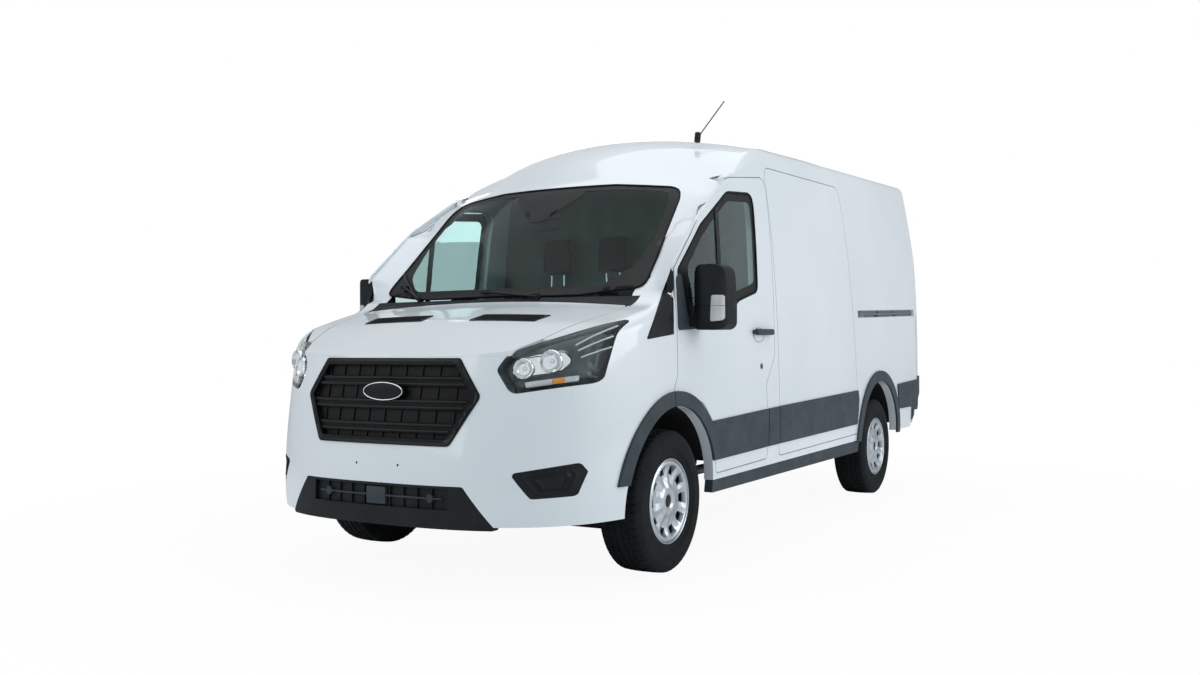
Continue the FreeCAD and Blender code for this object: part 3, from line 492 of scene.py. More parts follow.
window = {
    "outline": [(-1.684, 1.470, 0.04), (-1.388, 1.720, 0.15), (-1.010, 1.936, 0.2), (-0.648, 1.966, 0.06),
                (-0.690, 1.408, 0.05), (-0.945, 1.352, 0.06), (-1.180, 1.243, 0.12), (-1.480, 1.223, 0.06),
                (-1.632, 1.253, 0.05)],
    "clear": [(-1.20, 1.780, 0.05), (-1.00, 1.890, 0.12), (-0.690, 1.915, 0.05), (-0.728, 1.452, 0.05),
              (-0.960, 1.400, 0.05), (-1.190, 1.292, 0.1), (-1.450, 1.275, 0.05), (-1.560, 1.330, 0.04),
              (-1.560, 1.500, 0.04), (-1.380, 1.660, 0.1)],
    "divider": [(-1.225, 1.250), (-1.180, 1.250), (-1.142, 1.870), (-1.187, 1.845)],
}
ring = rounded(window["outline"], 0.05)
for side, sign in sides:
    doorBody = "front_door_" + side
    glassTree = treeOf("door_glass_" + side)
    drape("windowBorder_" + side, ring, side, glassTree, "frit", doorBody, lift=0.0008,
          hole=rounded(window["clear"], 0.04))
    drape("windowDivider_" + side, rounded(window["divider"], 0.006), side, glassTree, "satinBlack",
          doorBody, lift=0.0045, thick=0.0035, cell=0.02)
    sealLine = onSurface(dense(ring, 0.03), side, glassTree, 0.002)
    tube("windowSeal_" + side, sealLine, 0.005, "gapBlack", doorBody, closed=True)
print("glass surrounds done")


# Tyres with tread, and slotted wheel covers

tyre = {
    "radius": 0.348, "pitches": 56, "stepsPerPitch": 6,
    "grooves": (-0.052, -0.018, 0.018, 0.052), "grooveHalf": 0.0045, "grooveDepth": 0.007,
    "shoulder": 0.096, "crownDrop": 0.0045, "edgeDrop": 0.004, "edgeFrom": 0.092, "rowsApart": 0.003,
    "sipeDepth": 0.0055, "sipeFrom": 0.024, "fineDepth": 0.0018, "fineTo": 0.05,
    # (along, radius) of the side wall, from the bead outwards
    "wall": [(-0.090, 0.2035), (-0.098, 0.207), (-0.1045, 0.218), (-0.1090, 0.232), (-0.1093, 0.236),
             (-0.1115, 0.240), (-0.114, 0.262), (-0.114, 0.272), (-0.1128, 0.286), (-0.1135, 0.290),
             (-0.1110, 0.305), (-0.1065, 0.320), (-0.1010, 0.331)],
}
axle = {"across": 0.868, "front": -1.742, "rear": 1.558, "height": 0.348}
wheelPlaces = {
    end + "_" + side: (sign * axle["across"], axle[end], axle["height"])
    for end in ("front", "rear") for side, sign in sides
}


# a point of a wheel, turned about the middle of its axle
def onWheel(centre, along, radius, turn):
    return (centre[0] + along, centre[1] + radius * math.cos(turn), centre[2] + radius * math.sin(turn))


# (along, radius, tread share) from bead to bead
def tyreProfile():
    left = [(x, r, 0) for x, r in tyre["wall"]]
    tread = []
    x = -tyre["shoulder"]
    while x < tyre["shoulder"] + 0.0001:
        deep = any(abs(x - g) < tyre["grooveHalf"] for g in tyre["grooves"])
        drop = tyre["crownDrop"] * (abs(x) / tyre["shoulder"]) ** 2.6
        if abs(x) > tyre["edgeFrom"]:
            drop += tyre["edgeDrop"]
        tread.append((x, tyre["radius"] - drop - deep * tyre["grooveDepth"], 0 if deep else 1))
        x += tyre["rowsApart"]
    right = [(-x, r, 0) for x, r in tyre["wall"][::-1]]
    return left + tread + right


def makeTyre(name, centre, body, node):
    profile = tyreProfile()
    steps = tyre["stepsPerPitch"]
    total = tyre["pitches"] * steps
    vertices = []
    for s in range(total):
        turn = 2 * math.pi * s / total
        for x, radius, isTread in profile:
            wave = 2 * abs(x) / tyre["shoulder"] + (0.5 if x > 0 else 0)
            phase = (s + wave * 2) % steps
            sipe = isTread and phase < 1 and abs(x) > tyre["sipeFrom"]
            fine = isTread and 3 <= phase < 4 and abs(x) < tyre["fineTo"]
            r = radius - (tyre["sipeDepth"] if sipe else tyre["fineDepth"] if fine else 0)
            vertices.append(onWheel(centre, x, r, turn))
    mesh = meshOf(name, vertices, ringFaces(total, len(profile)))
    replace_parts(addPiece(name, mesh, "tyre", body, 35), node)


# radii of the face's shapes in millimetres, all else in metres
cover = {
    "slots": 10, "slotIn": 0.132, "slotOut": 0.176, "halfIn": 0.0175, "halfOut": 0.0265, "deep": 0.030,
    "slopeWidth": 0.0025, "darkFrom": 0.0014, "faceAt": 0.091, "turns": 320,
    # height, radius and width of each
    "bulge": (0.012, 186, 16), "dip": (0.010, 128, 34), "hub": (0.010, 74, 5), "cap": (0.012, 34, 2),
    "star": (0.009, 104, 46), "ridge": (0.006, 150, 26), "starTurn": 0.35, "ridgeShare": 0.45,
}


# how far the cover's face stands out of its rim plane, and whether it is deep enough inside a slot to get
# painted shade
def coverHeight(radius, turn):
    r = radius * 1000

    def bell(shape):
        return shape[0] * math.exp(-((r - shape[1]) / shape[2]) ** 2)

    def table(shape):
        return shape[0] / (1 + math.exp((r - shape[1]) / shape[2]))
    dish = bell(cover["bulge"]) - bell(cover["dip"]) + table(cover["hub"]) - table(cover["cap"])
    step = 2 * math.pi / cover["slots"]
    local = (turn + step / 2) % step - step / 2
    across = abs(local) / (step / 2)
    height, middle, reach = cover["star"]
    star = max(0.0, 1 - abs(r - middle) / reach) * height * (across - cover["starTurn"])
    ridge = bell(cover["ridge"]) * max(0.0, 1 - (1 - across) / cover["ridgeShare"])
    share = (radius - cover["slotIn"]) / (cover["slotOut"] - cover["slotIn"])
    half = cover["halfIn"] + (cover["halfOut"] - cover["halfIn"]) * share
    inSlot = 0 < share < 1 and abs(local) * radius < half
    edge = 0.0
    if inSlot:
        edge = min(radius - cover["slotIn"], cover["slotOut"] - radius, half - abs(local) * radius)
        dish -= min(1.0, edge / cover["slopeWidth"]) * cover["deep"]
    return dish + star + ridge, inSlot and edge > cover["darkFrom"]


def makeCover(name, centre, sign, body):
    radii = [0.0005] + [0.006 * k for k in range(1, 22)]
    radii += [0.1295 + 0.0016 * k for k in range(31)] + [0.180 + 0.0025 * k for k in range(8)]
    total = cover["turns"]
    vertices, slotShadeFaces = [], []
    for s in range(total):
        turn = 2 * math.pi * s / total
        for radius in radii:
            along = cover["faceAt"] + coverHeight(radius, turn)[0]
            vertices.append(onWheel(centre, sign * along, radius, turn))
        for low, high in zip(radii, radii[1:]):
            slotShadeFaces.append(coverHeight((low + high) / 2, 2 * math.pi * (s + 0.5) / total)[1])
    faces = ringFaces(total, len(radii))
    mesh = meshOf(name, vertices, faces if sign < 0 else [face[::-1] for face in faces])
    piece = addPiece(name, mesh, "wheelSilver", body, 40)
    # the deep floors of the slots black: painted shade for the dark inside of the wheel seen through them
    mesh.materials.append(finish["gapBlack"])
    for face, dark in zip(mesh.polygons, slotShadeFaces):
        face.material_index = 1 if dark else 0
    return piece


wheelRings = {
    # (along, radius) pairs, then finish, slot and segments
    "rimBarrel": (((0.101, 0.2005), (0.092, 0.198), (0.070, 0.186), (0.020, 0.176), (-0.070, 0.182),
                   (-0.094, 0.196), (-0.101, 0.202), (-0.096, 0.2026), (0.0, 0.190), (0.096, 0.2026)),
                  "wheelSilver", "wheel_silver", 96),
    "wheelHub": (((0.080, 0.0005), (0.080, 0.058), (0.062, 0.070), (0.030, 0.072), (0.030, 0.0315)),
                 "castIron", "wheel_silver", 48),
    "rimFlange": (((0.085, 0.199), (0.101, 0.2005), (0.104, 0.204), (0.102, 0.2075), (0.096, 0.206)),
                  "wheelSilver", "wheel_silver", 96),
    "centreCap": (((0.096, 0.0), (0.0962, 0.022), (0.094, 0.029), (0.088, 0.031)), "satinBlack",
                  "black_plastic", 48),
    "brakeDisc": (((0.020, 0.06), (0.020, 0.150), (0.044, 0.150), (0.044, 0.06)), "steel",
                  "chassis_iron", 64),
    "tyreLine": (((0.1128, 0.2395), (0.1136, 0.2405), (0.1130, 0.2415)), "tyre", "tyre", 96),
}
for place, centre in wheelPlaces.items():
    end, side = place.split("_")
    sign = 1 if side == "left" else -1
    body = end + "_wheel_" + side
    makeTyre("tyreTread_" + place, centre, body, "tyre_" + place)
    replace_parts(makeCover("wheelCover_" + place, centre, sign, body), "wheel_" + place)
    for label, (profile, material, slot, segments) in wheelRings.items():
        ring = [(sign * a, r) for a, r in profile]
        lathe(label + "_" + place, ring, material, body, centre, segments=segments)
print("wheels done")


# Headlamps: an open bezel, two bright reflectors, a line of light and an amber strip under a clear lens

lamp = {
    # outline, radius of its corners, finish, depth under the lens, thickness and cell of each skin
    "skins": {
        "lampFloor": ([(0.600, 0.998), (0.652, 0.928), (0.925, 0.970), (0.944, 1.190), (0.632, 1.062)],
                      0.02, "bezel", 0.040, 0.0, 0.02),
        "indicatorStrip": ([(0.690, 0.926), (0.866, 0.952), (0.868, 0.978), (0.682, 0.948)],
                           0.006, "clearBlinker", 0.014, 0.004, 0.02),
        "indicatorBulb": ([(0.786, 0.941), (0.826, 0.947), (0.827, 0.970), (0.784, 0.963)],
                          0.005, "amber", 0.010, 0.003, 0.01),
        "reflectorPocket": ([(0.610, 0.992), (0.640, 0.958), (0.808, 0.992), (0.842, 1.040),
                             (0.812, 1.094), (0.634, 1.052)], 0.028, "chrome", 0.036, 0.003, 0.02),
    },
    "bladeLines": [(0.846, 1.110, 0.940, 1.196), (0.856, 1.086, 0.944, 1.150),
                   (0.866, 1.056, 0.944, 1.102)],
    "bowls": [((0.674, 1.008), 0.043), ((0.774, 1.040), 0.047)],
    "bowlDeep": 0.038,
    "bulb": [(-0.034, 0.010), (-0.016, 0.010), (-0.010, 0.007), (-0.006, 0.0005)],
    "aim": (0.28, -0.96),
    "lensThick": 0.003,
    # the faces of the lamp that are lens: how far they turn forwards, upright and outwards
    "forwards": -0.04, "upright": 0.1, "outwards": -0.2,
}


def splitLamp(side, sign):
    data = cadNodes["headlamp_" + side].data
    vertices = [v.co.copy() for v in data.vertices]
    outer, rest = [], []
    for p in data.polygons:
        n = p.normal
        isLens = (n.y < lamp["forwards"] and n.x * n.x + n.y * n.y > lamp["upright"]
                  and n.x * sign > lamp["outwards"])
        (outer if isLens else rest).append(list(p.vertices))
    name = "lampBezel_" + side
    bezel = addPiece(name, meshOf(name, vertices, rest), "bezel", "body", 32)
    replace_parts(bezel, "headlamp_" + side)
    name = "lampLens_" + side
    lens = addPiece(name, meshOf(name, vertices, outer), "lens", "body", 32)
    solid = lens.modifiers.new("thickness", "SOLIDIFY")
    solid.thickness, solid.offset = lamp["lensThick"], -1


for side, sign in sides:
    lampTree = treeOf("headlamp_" + side)
    splitLamp(side, sign)
    for label, (ring, radius, kind, depth, thick, cell) in lamp["skins"].items():
        drape(label + "_" + side, rounded(flipped(ring, sign), radius), "front", lampTree, kind, "body",
              lift=-depth, thick=thick, cell=cell)
    pocket, radius = lamp["skins"]["reflectorPocket"][:2]
    pocketEdge = onSurface(dense(rounded(flipped(pocket, sign), radius), 0.02), "front", lampTree, -0.030)
    tube("pocketEdge_" + side, pocketEdge, 0.0035, "bezel", "body", closed=True)
    for number, (x0, z0, x1, z1) in enumerate(lamp["bladeLines"]):
        run = [(sign * (x0 + (x1 - x0) * k / 6), z0 + (z1 - z0) * k / 6) for k in range(7)]
        fin = onSurface(run, "front", lampTree, -0.018)
        tube("lampFin%d_%s" % (number, side), fin, 0.004, "clearBlinker", "body")
    for number, ((x, z), radius) in enumerate(lamp["bowls"]):
        hit = spotOn((sign * x, z), "front", lampTree, -0.012)
        facing = Vector((sign * lamp["aim"][0], lamp["aim"][1], 0)).normalized()
        turned = Matrix.Translation(hit) @ facing.to_track_quat("X", "Z").to_matrix().to_4x4()
        bowl = []
        for k in range(13):
            share = k / 12
            bowl.append((0.004 - lamp["bowlDeep"] * (1 - share ** 2), max(radius * share, 0.0004)))
        bowl += [(0.006, radius * 1.03), (0.004, radius * 1.08), (-0.012, radius * 1.10)]
        piece = lathe("reflector%d_%s" % (number, side), bowl, "chrome", "body", segments=56,
                      smoothAngle=50)
        piece.data.transform(turned)
        piece = lathe("bulb%d_%s" % (number, side), lamp["bulb"], "mirrorGlass", "body",
                      segments=24)
        piece.data.transform(turned)
print("headlamps done")


# Nose: plain badge place, intake, painted shade of the screw holes, fog lamp blanks and bonnet vents

nose = {
    "grille": {"hex": [(-0.394, 1.052), (0.394, 1.052), (0.508, 0.886), (0.382, 0.671), (-0.382, 0.671),
                       (-0.508, 0.886)],
               "bars": (0.722, 0.826, 0.930), "ridges": (("low", 0.0085), ("high", 0.0355)),
               # half width of the opening at a height, and its growth upwards, below and above widest
               "below": (0.386, 0.667, 0.5845), "above": (0.398, 1.056, -0.682),
               "widest": 0.886, "inset": 0.046, "ridgeRadius": 0.0085},
    # (along, share of the radius) of the badge, from its back to its middle
    "badge": {"height": 0.905, "halfWidth": 0.122, "halfHeight": 0.042, "rimShare": 0.95,
              "profile": [(0.010, 1.0), (-0.006, 1.0), (-0.010, 0.975), (-0.010, 0.93), (-0.006, 0.89),
                          (-0.0075, 0.6), (-0.008, 0.0005)]},
    "intake": {"low": 0.396, "high": 0.480, "half": 0.385, "ribs": 9, "rib": 0.003, "bar": 0.438,
               "ringAt": 0.300, "block": 0.056,
               "eye": [(0.010, 0.019), (-0.004, 0.019), (-0.006, 0.015), (-0.003, 0.012),
                       (-0.004, 0.0005)]},
    "screwHoles": [(-0.123, 0.577), (0.123, 0.577)],
    "fog": [(0.657, 0.555), (0.735, 0.444), (0.880, 0.452), (0.908, 0.556), (0.889, 0.596)],
    # share of that outline and corner radius, outside and of the hole, then finish, lift and thickness
    "fogRings": {"fogRing": (0.74, 0.014, 0.64, 0.012, "blackPlastic", 0.005, 0.006),
                 "fogInner": (0.52, 0.010, 0.36, 0.008, "satinBlack", 0.002, 0.003)},
    "vent": [(0.147, -2.262), (0.160, -2.150), (0.548, -2.140), (0.528, -2.256)],
    "slats": {"count": 4, "first": -2.238, "apart": 0.024, "from": 0.170, "long": 0.352},
}
noseTree = treeOf("grille", "front_bumper", "lower_grille")


def shrunk(points, share):
    x, z = [sum(p[k] for p in points) / len(points) for k in (0, 1)]
    return [(x + (p[0] - x) * share, z + (p[1] - z) * share) for p in points]


def ellipse(x, z, width, height, count=40):
    turns = [2 * math.pi * k / count for k in range(count)]
    return [(x + width * math.cos(t), z + height * math.sin(t)) for t in turns]


def makeBadge():
    # a plain oval on two bars of the grille, with a raised rim
    badge = nose["badge"]
    front = min(p.y for p in onSurface([(x, 0.85) for x in (-0.1, 0.0, 0.1)], "front", noseTree, 0.0))
    piece = lathe("badgePlate", badge["profile"], "satinBlack", "body", axis="Y",
                  segments=72)
    scaled = Matrix.Diagonal((badge["halfWidth"], 1.0, badge["halfHeight"], 1.0))
    piece.data.transform(Matrix.Translation((0, front - 0.004, badge["height"])) @ scaled)
    width, height = [badge[key] * badge["rimShare"] for key in ("halfWidth", "halfHeight")]
    ring = ellipse(0, badge["height"], width, height, 64)
    rim = [Vector((x, front - 0.014, z)) for x, z in ring]
    tube("badgeRim", rim, 0.0028, "chrome", "body", closed=True)


def makeGrilleFace():
    # the frame and the two ridges of each bar, a little glossier than the darker ribs behind them, whose
    # black is painted shade
    face = nose["grille"]
    outer, inner = rounded(face["hex"], 0.03), rounded(shrunk(face["hex"], 0.94), 0.028)
    drape("grilleFrame", outer, "front", noseTree, "satinBlack", "body", lift=0.0012,
          hole=inner, cell=0.02)
    for number, low in enumerate(face["bars"]):
        for label, height in face["ridges"]:
            z = low + height
            width, at, growth = face["below" if z < face["widest"] else "above"]
            half = width + (z - at) * growth - face["inset"]
            run = onSurface([(-half + 2 * half * k / 24, z) for k in range(25)], "front", noseTree, -0.003)
            tube("grilleBar%d_%s" % (number, label), run, face["ridgeRadius"], "satinBlack", "body")


makeBadge()
makeGrilleFace()
intake = nose["intake"]
pitch = 2 * intake["half"] / (intake["ribs"] + 1)
for number in range(intake["ribs"]):
    x = -intake["half"] + pitch * (number + 1)
    foot = spotOn((x, intake["low"]), "front", noseTree, 0.005)
    low = (x - intake["rib"], foot.y - 0.004, intake["low"] - 0.004)
    high = (x + intake["rib"], foot.y + 0.008, intake["high"] + 0.003)
    roundedBox("intakeRib%d" % number, low, high, 0.001, "blackPlastic", segments=1)
barLine = onSurface([(x / 100, intake["bar"]) for x in range(-36, 37, 3)], "front", noseTree, 0.011)
tube("intakeBar", barLine, 0.0045, "greyPlastic")
for side, sign in sides:
    spot = spotOn((sign * intake["ringAt"], intake["bar"]), "front", noseTree, 0.012)
    lathe("intakeEye_" + side, intake["eye"], "greyPlastic", "body", spot, axis="Y",
          segments=32)
spot = spotOn((0, intake["bar"]), "front", noseTree)
low = (-intake["block"], spot.y - 0.017, intake["low"] + 0.002)
high = (intake["block"], spot.y + 0.006, intake["high"] - 0.004)
roundedBox("intakeBlock", low, high, 0.003, "greyPlastic")
# black discs of painted shade where the screw holes are, with no hole cut
for number, (x, z) in enumerate(nose["screwHoles"]):
    drape("screwHole%d" % number, ellipse(x, z, 0.0055, 0.0055, 20), "front", noseTree, "gapBlack",
          lift=0.0004, cell=0.01)
bonnetTree = treeOf("bonnet")
slats = nose["slats"]
for side, sign in sides:
    fog = flipped(nose["fog"], sign)
    for label, (outer, bend, inner, innerBend, kind, lift, thick) in nose["fogRings"].items():
        drape(label + "_" + side, rounded(shrunk(fog, outer), bend), "front", noseTree, kind, lift=lift,
              thick=thick, hole=rounded(shrunk(fog, inner), innerBend), cell=0.02)
    vent = rounded(flipped(nose["vent"], sign), 0.012)
    drape("bonnetVent_" + side, vent, "top", bonnetTree, "satinBlack", "bonnet", lift=0.0012, cell=0.025)
    for number in range(slats["count"]):
        y = slats["first"] + slats["apart"] * number
        places = [(sign * (slats["from"] + slats["long"] * k / 8), y) for k in range(9)]
        slat = onSurface(places, "top", bonnetTree, 0.0025)
        tube("ventSlat%d_%s" % (number, side), slat, 0.0028, "blackPlastic", "bonnet")
    rimLine = onSurface(dense(vent, 0.03), "top", bonnetTree, 0.0005)
    tube("ventRim_" + side, rimLine, 0.0028, "blackPlastic", "bonnet", closed=True)
print("nose done")


# Wipers, interior mirror, door handles and mirrors

wipers = {
    # pivot, knee where the arm meets the blade, and the blade's two ends, in the front view
    "left": [(0.350, 1.352), (-0.070, 1.392), (-0.415, 1.364), (0.270, 1.372)],
    "right": [(-0.485, 1.352), (-0.700, 1.440), (-0.545, 1.366), (-0.800, 1.520)],
}
wiperTree = treeOf("windscreen", "cowl", "roof")
clip = Vector((0.026, 0.012, 0.010))


def alongScreen(start, end, count, lift):
    places = [tuple(Vector(start).lerp(Vector(end), k / count)) for k in range(count + 1)]
    return onSurface(places, "front", wiperTree, lift)


for side, (pivot, knee, bladeStart, bladeEnd) in wipers.items():
    arm = alongScreen(pivot, knee, 6, 0.030)
    foot = [arm[0] + Vector((0, 0.030, -0.012)), arm[0]]
    tube("wiperArm_" + side, arm, 0.0065, "satinBlack")
    tube("wiperFoot_" + side, foot, 0.014, "satinBlack")
    tube("wiperSpine_" + side, alongScreen(bladeStart, bladeEnd, 12, 0.019), 0.0055, "satinBlack")
    tube("wiperRubber_" + side, alongScreen(bladeStart, bladeEnd, 12, 0.008), 0.0045, "gapBlack")
    middle = alongScreen(knee, knee, 1, 0.024)[0]
    roundedBox("wiperClip_" + side, middle - clip, middle + clip, 0.004, "satinBlack")

roundedBox("interiorMirror", (-0.105, -1.395, 1.742), (0.125, -1.372, 1.808), 0.010, "dash", "body",
           turn=Matrix.Rotation(math.radians(-12), 3, "Z"))
tube("interiorMirrorStem", [(0.0, -1.385, 1.80), (0.0, -1.392, 1.850), (0.0, -1.36, 1.875)], 0.007, "dash",
     "body")

# places on the left door, along and up
handle = {
    "cup": (-0.700, 1.160, 0.075, 0.040),       # middle and half sizes
    "lock": (-0.673, 0.983, 0.016),             # middle and radius
    "pull": (-0.785, -0.545, 1.160, 1.194),     # from and to along, from and to up
    "pullFrom": 0.012, "pullTo": 0.034,         # off the door's skin
}
# outlines on the left mirror, across and up: the two panes, the indicator and the cap's seam
mirror = {
    "panes": {
        "main": [(1.032, 1.290, 0.03), (1.030, 1.480, 0.04), (1.180, 1.480, 0.04), (1.190, 1.290, 0.03)],
        "wide": [(1.036, 1.200, 0.03), (1.034, 1.272, 0.02), (1.190, 1.272, 0.02), (1.188, 1.200, 0.03)],
    },
    "indicator": [(1.126, 1.222, 0.012), (1.134, 1.352, 0.01), (1.194, 1.352, 0.012), (1.194, 1.228, 0.02)],
    "seam": {"from": 1.022, "apart": 0.0092, "height": 1.300},
}
for side, sign in sides:
    doorBody = "front_door_" + side
    doorTree = treeOf("front_door_" + side)
    y, z, reach, height = handle["cup"]
    cup = ellipse(y, z, reach, height)
    drape("handleCup_" + side, cup, side, doorTree, "paint", doorBody, lift=0.0006, cell=0.02)
    # a black ring of painted shade round the rim of the handle's cup
    tube("handleCupEdge_" + side, onSurface(cup, side, doorTree, 0.0004), 0.0013, "gapBlack", doorBody,
         closed=True)
    y0, y1, z0, z1 = handle["pull"]
    spot = spotOn(((y0 + y1) / 2, z0 - 0.02), side, doorTree)
    xs = sorted((spot.x + sign * handle["pullFrom"], spot.x + sign * handle["pullTo"]))
    roundedBox("doorPull_" + side, (xs[0], y0, z0), (xs[1], y1, z1), 0.009, "greyPlastic", doorBody)
    y, z, radius = handle["lock"]
    spot = spotOn((y, z), side, doorTree)
    lock = [(-0.002, radius), (0.003, radius), (0.004, radius * 0.8), (0.0035, 0.0005)]
    lathe("doorLock_" + side, flipped(lock, sign), "bezel", doorBody, spot, segments=28)
    mirrorTree = treeOf("mirror_" + side)
    for label, pane in mirror["panes"].items():
        drape("mirrorPane_%s_%s" % (label, side), rounded(flipped(pane, sign), 0.03), "rear", mirrorTree,
              "mirrorGlass", doorBody, lift=0.0012, thick=0.001)
    lightStrip = rounded(flipped(mirror["indicator"], sign), 0.012)
    drape("mirrorIndicator_" + side, lightStrip, "front", mirrorTree, "clearBlinker", doorBody, lift=0.0015,
          thick=0.002, cell=0.015)
    seam = mirror["seam"]
    places = [(sign * (seam["from"] + seam["apart"] * k), seam["height"]) for k in range(20)]
    capLine = onSurface(places, "front", mirrorTree, 0.0004)
    tube("mirrorSeam_" + side, capLine, 0.0012, "gapBlack", doorBody)

# the foot of each screen pillar: the painted skin between the glass, the door and the wing
pillar = {
    # height, then across and along at the glass and at the door
    "rows": [(1.318, 0.800, -1.828, 0.990, -1.744), (1.340, 0.795, -1.804, 0.990, -1.733),
             (1.380, 0.788, -1.758, 0.989, -1.728), (1.411, 0.805, -1.720, 0.989, -1.728),
             (1.454, 0.822, -1.676, 0.989, -1.727), (1.484, 0.822, -1.640, 0.987, -1.725),
             (1.569, 0.815, -1.550, 0.982, -1.626), (1.657, 0.800, -1.464, 0.976, -1.523),
             (1.748, 0.790, -1.378, 0.966, -1.416), (1.800, 0.800, -1.322, 0.908, -1.306)],
    "rowsApart": 0.016,
    "columns": 12,
    "reach": 0.06,          # skins further behind than this aren't met
    "tuck": 0.003,          # how far it goes under the skins it meets
    "underGlass": 0.010,
    "doorGap": 0.005,
    # the plate behind the corner where the roof, the pillar and the door meet
    "plate": [(0.800, 1.985), (0.905, 1.985), (0.905, 2.022), (0.800, 2.036)],
    "plateAt": -0.955,
    # a dark line of painted shade in the gap at the door's edge along the pillar
    "edge": [(0.9895, -1.7275, 1.380), (0.988, -1.7265, 1.480), (0.983, -1.627, 1.569),
             (0.977, -1.524, 1.657), (0.967, -1.417, 1.748), (0.915, -1.309, 1.802),
             (0.903, -1.232, 1.850)],
}


def pillarRow(height):
    rows = pillar["rows"]
    for low, high in zip(rows, rows[1:]):
        if height <= high[0]:
            share = (height - low[0]) / (high[0] - low[0])
            return [a + (b - a) * share for a, b in zip(low, high)]
    return rows[-1]


def makePillarFoot(side, sign):
    pane, door = treeOf("windscreen"), treeOf("front_door_" + side)
    shell = treeOf("roof", "front_wing_" + side)
    ahead = Vector((0, 1, 0))
    low, high = pillar["rows"][0][0], pillar["rows"][-1][0]
    count = int((high - low) / pillar["rowsApart"])
    columns = pillar["columns"]
    vertices = []
    for row in range(count + 1):
        height, glassX, glassY, doorX, doorY = pillarRow(low + (high - low) * row / count)
        for column in range(columns + 1):
            share = column / columns
            across = glassX + (doorX - glassX) * share
            along = glassY + (doorY - glassY) * share
            start = Vector((sign * across, -farOff["end"], height))
            for tree, depth in ((pane, pillar["underGlass"]), (shell, pillar["tuck"])):
                hit = tree.ray_cast(start, ahead)[0]
                if hit is not None and hit.y < along + pillar["reach"]:
                    along = max(hit.y + depth, along) if depth > pillar["tuck"] else hit.y + depth
            hit = door.ray_cast(start, ahead)[0]
            if hit is not None:
                along = min(along, hit.y - pillar["doorGap"])
            vertices.append((sign * across, along, height))
    wide = columns + 1
    faces = []
    for row in range(count):
        for column in range(columns):
            first = row * wide + column
            faces.append((first, first + 1, first + 1 + wide, first + wide))
    if sign < 0:
        faces = [face[::-1] for face in faces]
    name = "pillarFoot_" + side
    addPiece(name, meshOf(name, vertices, faces), "paint", "body", smoothAngle=50)
    name = "pillarPlate_" + side
    corners = [(sign * x, pillar["plateAt"], z) for x, z in pillar["plate"]]
    addPiece(name, meshOf(name, corners, [(0, 1, 2, 3)]), "paint", "body")
    # painted shade: a black tube in the gap between the pillar foot and the door
    tube("pillarSeam_" + side, flipped(pillar["edge"], sign), 0.0016, "gapBlack")


for side, sign in sides:
    makePillarFoot(side, sign)

# black trim on the wings that carries the line of the screen down to the door
wingTrim = [(-0.041, 1.490), (-0.050, 1.484), (-0.182, 1.135), (-0.041, 1.160)]
for side, sign in sides:
    wingTree = treeOf("front_wing_" + side, "pillarFoot_" + side)
    drape("wingTrim_" + side, rounded(wingTrim, 0.006), side + "_corner", wingTree, "blackPlastic",
          lift=0.003, thick=0.002, cell=0.02)
print("cab fittings done")


# Body lines: sliding rail, roof seams and the dark cheeks of the rear bumper

flankLines = {
    "cheek": [(2.392, 0.612, 0.01), (2.392, 0.806, 0.02), (2.556, 0.812, 0.01), (2.556, 0.470, 0.01),
              (2.400, 0.470, 0.02)],
    "rail": [(1.100, 1.311), (1.450, 1.3195), (1.800, 1.328), (2.150, 1.3365), (2.500, 1.3445)],
    "channel": [(1.092, 1.288), (1.092, 1.334), (2.512, 1.372), (2.512, 1.326)],
    "roofSeam": [(-0.406, 2.262), (1.202, 2.344)],
}
for side, sign in sides:
    flankTree = treeOf("body_side_" + side, "sliding_door_" + side, "roof")
    railLine = onSurface(flankLines["rail"], side, flankTree, 0.010)
    tube("slidingRail_" + side, railLine, 0.008, "railGrey")
    drape("railChannel_" + side, flankLines["channel"], side, flankTree, "railGrey", lift=0.002, cell=0.05)
    drape("bumperCheek_" + side, rounded(flankLines["cheek"], 0.01), side, flankTree, "greyPlastic", "body",
          lift=0.009, thick=0.008, cell=0.04)
    start, end = flankLines["roofSeam"]
    seam = [tuple(Vector(start).lerp(Vector(end), k / 16)) for k in range(17)]
    tube("roofSeam_" + side, onSurface(seam, side, flankTree, 0.0), 0.0022, "seamGrey", "body")
print("body lines done")


# Seats: padded cushions and headrests on a plain base

seat = {
    # front, back, low and top of the boxes, then how far they keep inside the seat's width
    "base": (-1.118, -0.642, 0.547, 0.802, 0.040), "baseEdge": 0.012,
    "cushion": (-1.186, -0.625, 0.802, 0.930, 0.003), "cushionEdge": 0.036,
    # low, top, thickness at both, middle line at both, edge
    "backrest": (0.905, 1.478, 0.118, 0.102, -0.700, -0.574, 0.032),
    "headrest": (1.556, 1.784, 0.088, 0.082, -0.560, -0.548, 0.034), "headrestWidth": 0.206,
    "stems": {"off": 0.048, "low": (-0.560, 1.44), "top": (-0.556, 1.58), "radius": 0.0065},
    "fill": 0.6,
}


def padPiece(piece, seatName):
    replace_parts(piece, seatName)


# a slab between two heights whose middle line leans
def leaning(name, width, middleX, shape, seatName):
    low, high, thickLow, thickHigh, yLow, yHigh, edge = shape
    nearCorner = (middleX - width / 2, -thickLow / 2, low)
    farCorner = (middleX + width / 2, thickLow / 2, high)
    piece = roundedBox(name, nearCorner, farCorner, edge, "cloth", "body", 4)
    for v in piece.data.vertices:
        share = (v.co.z - low) / (high - low)
        v.co.y = v.co.y * (1 + (thickHigh / thickLow - 1) * share) + yLow + (yHigh - yLow) * share
    padPiece(piece, seatName)


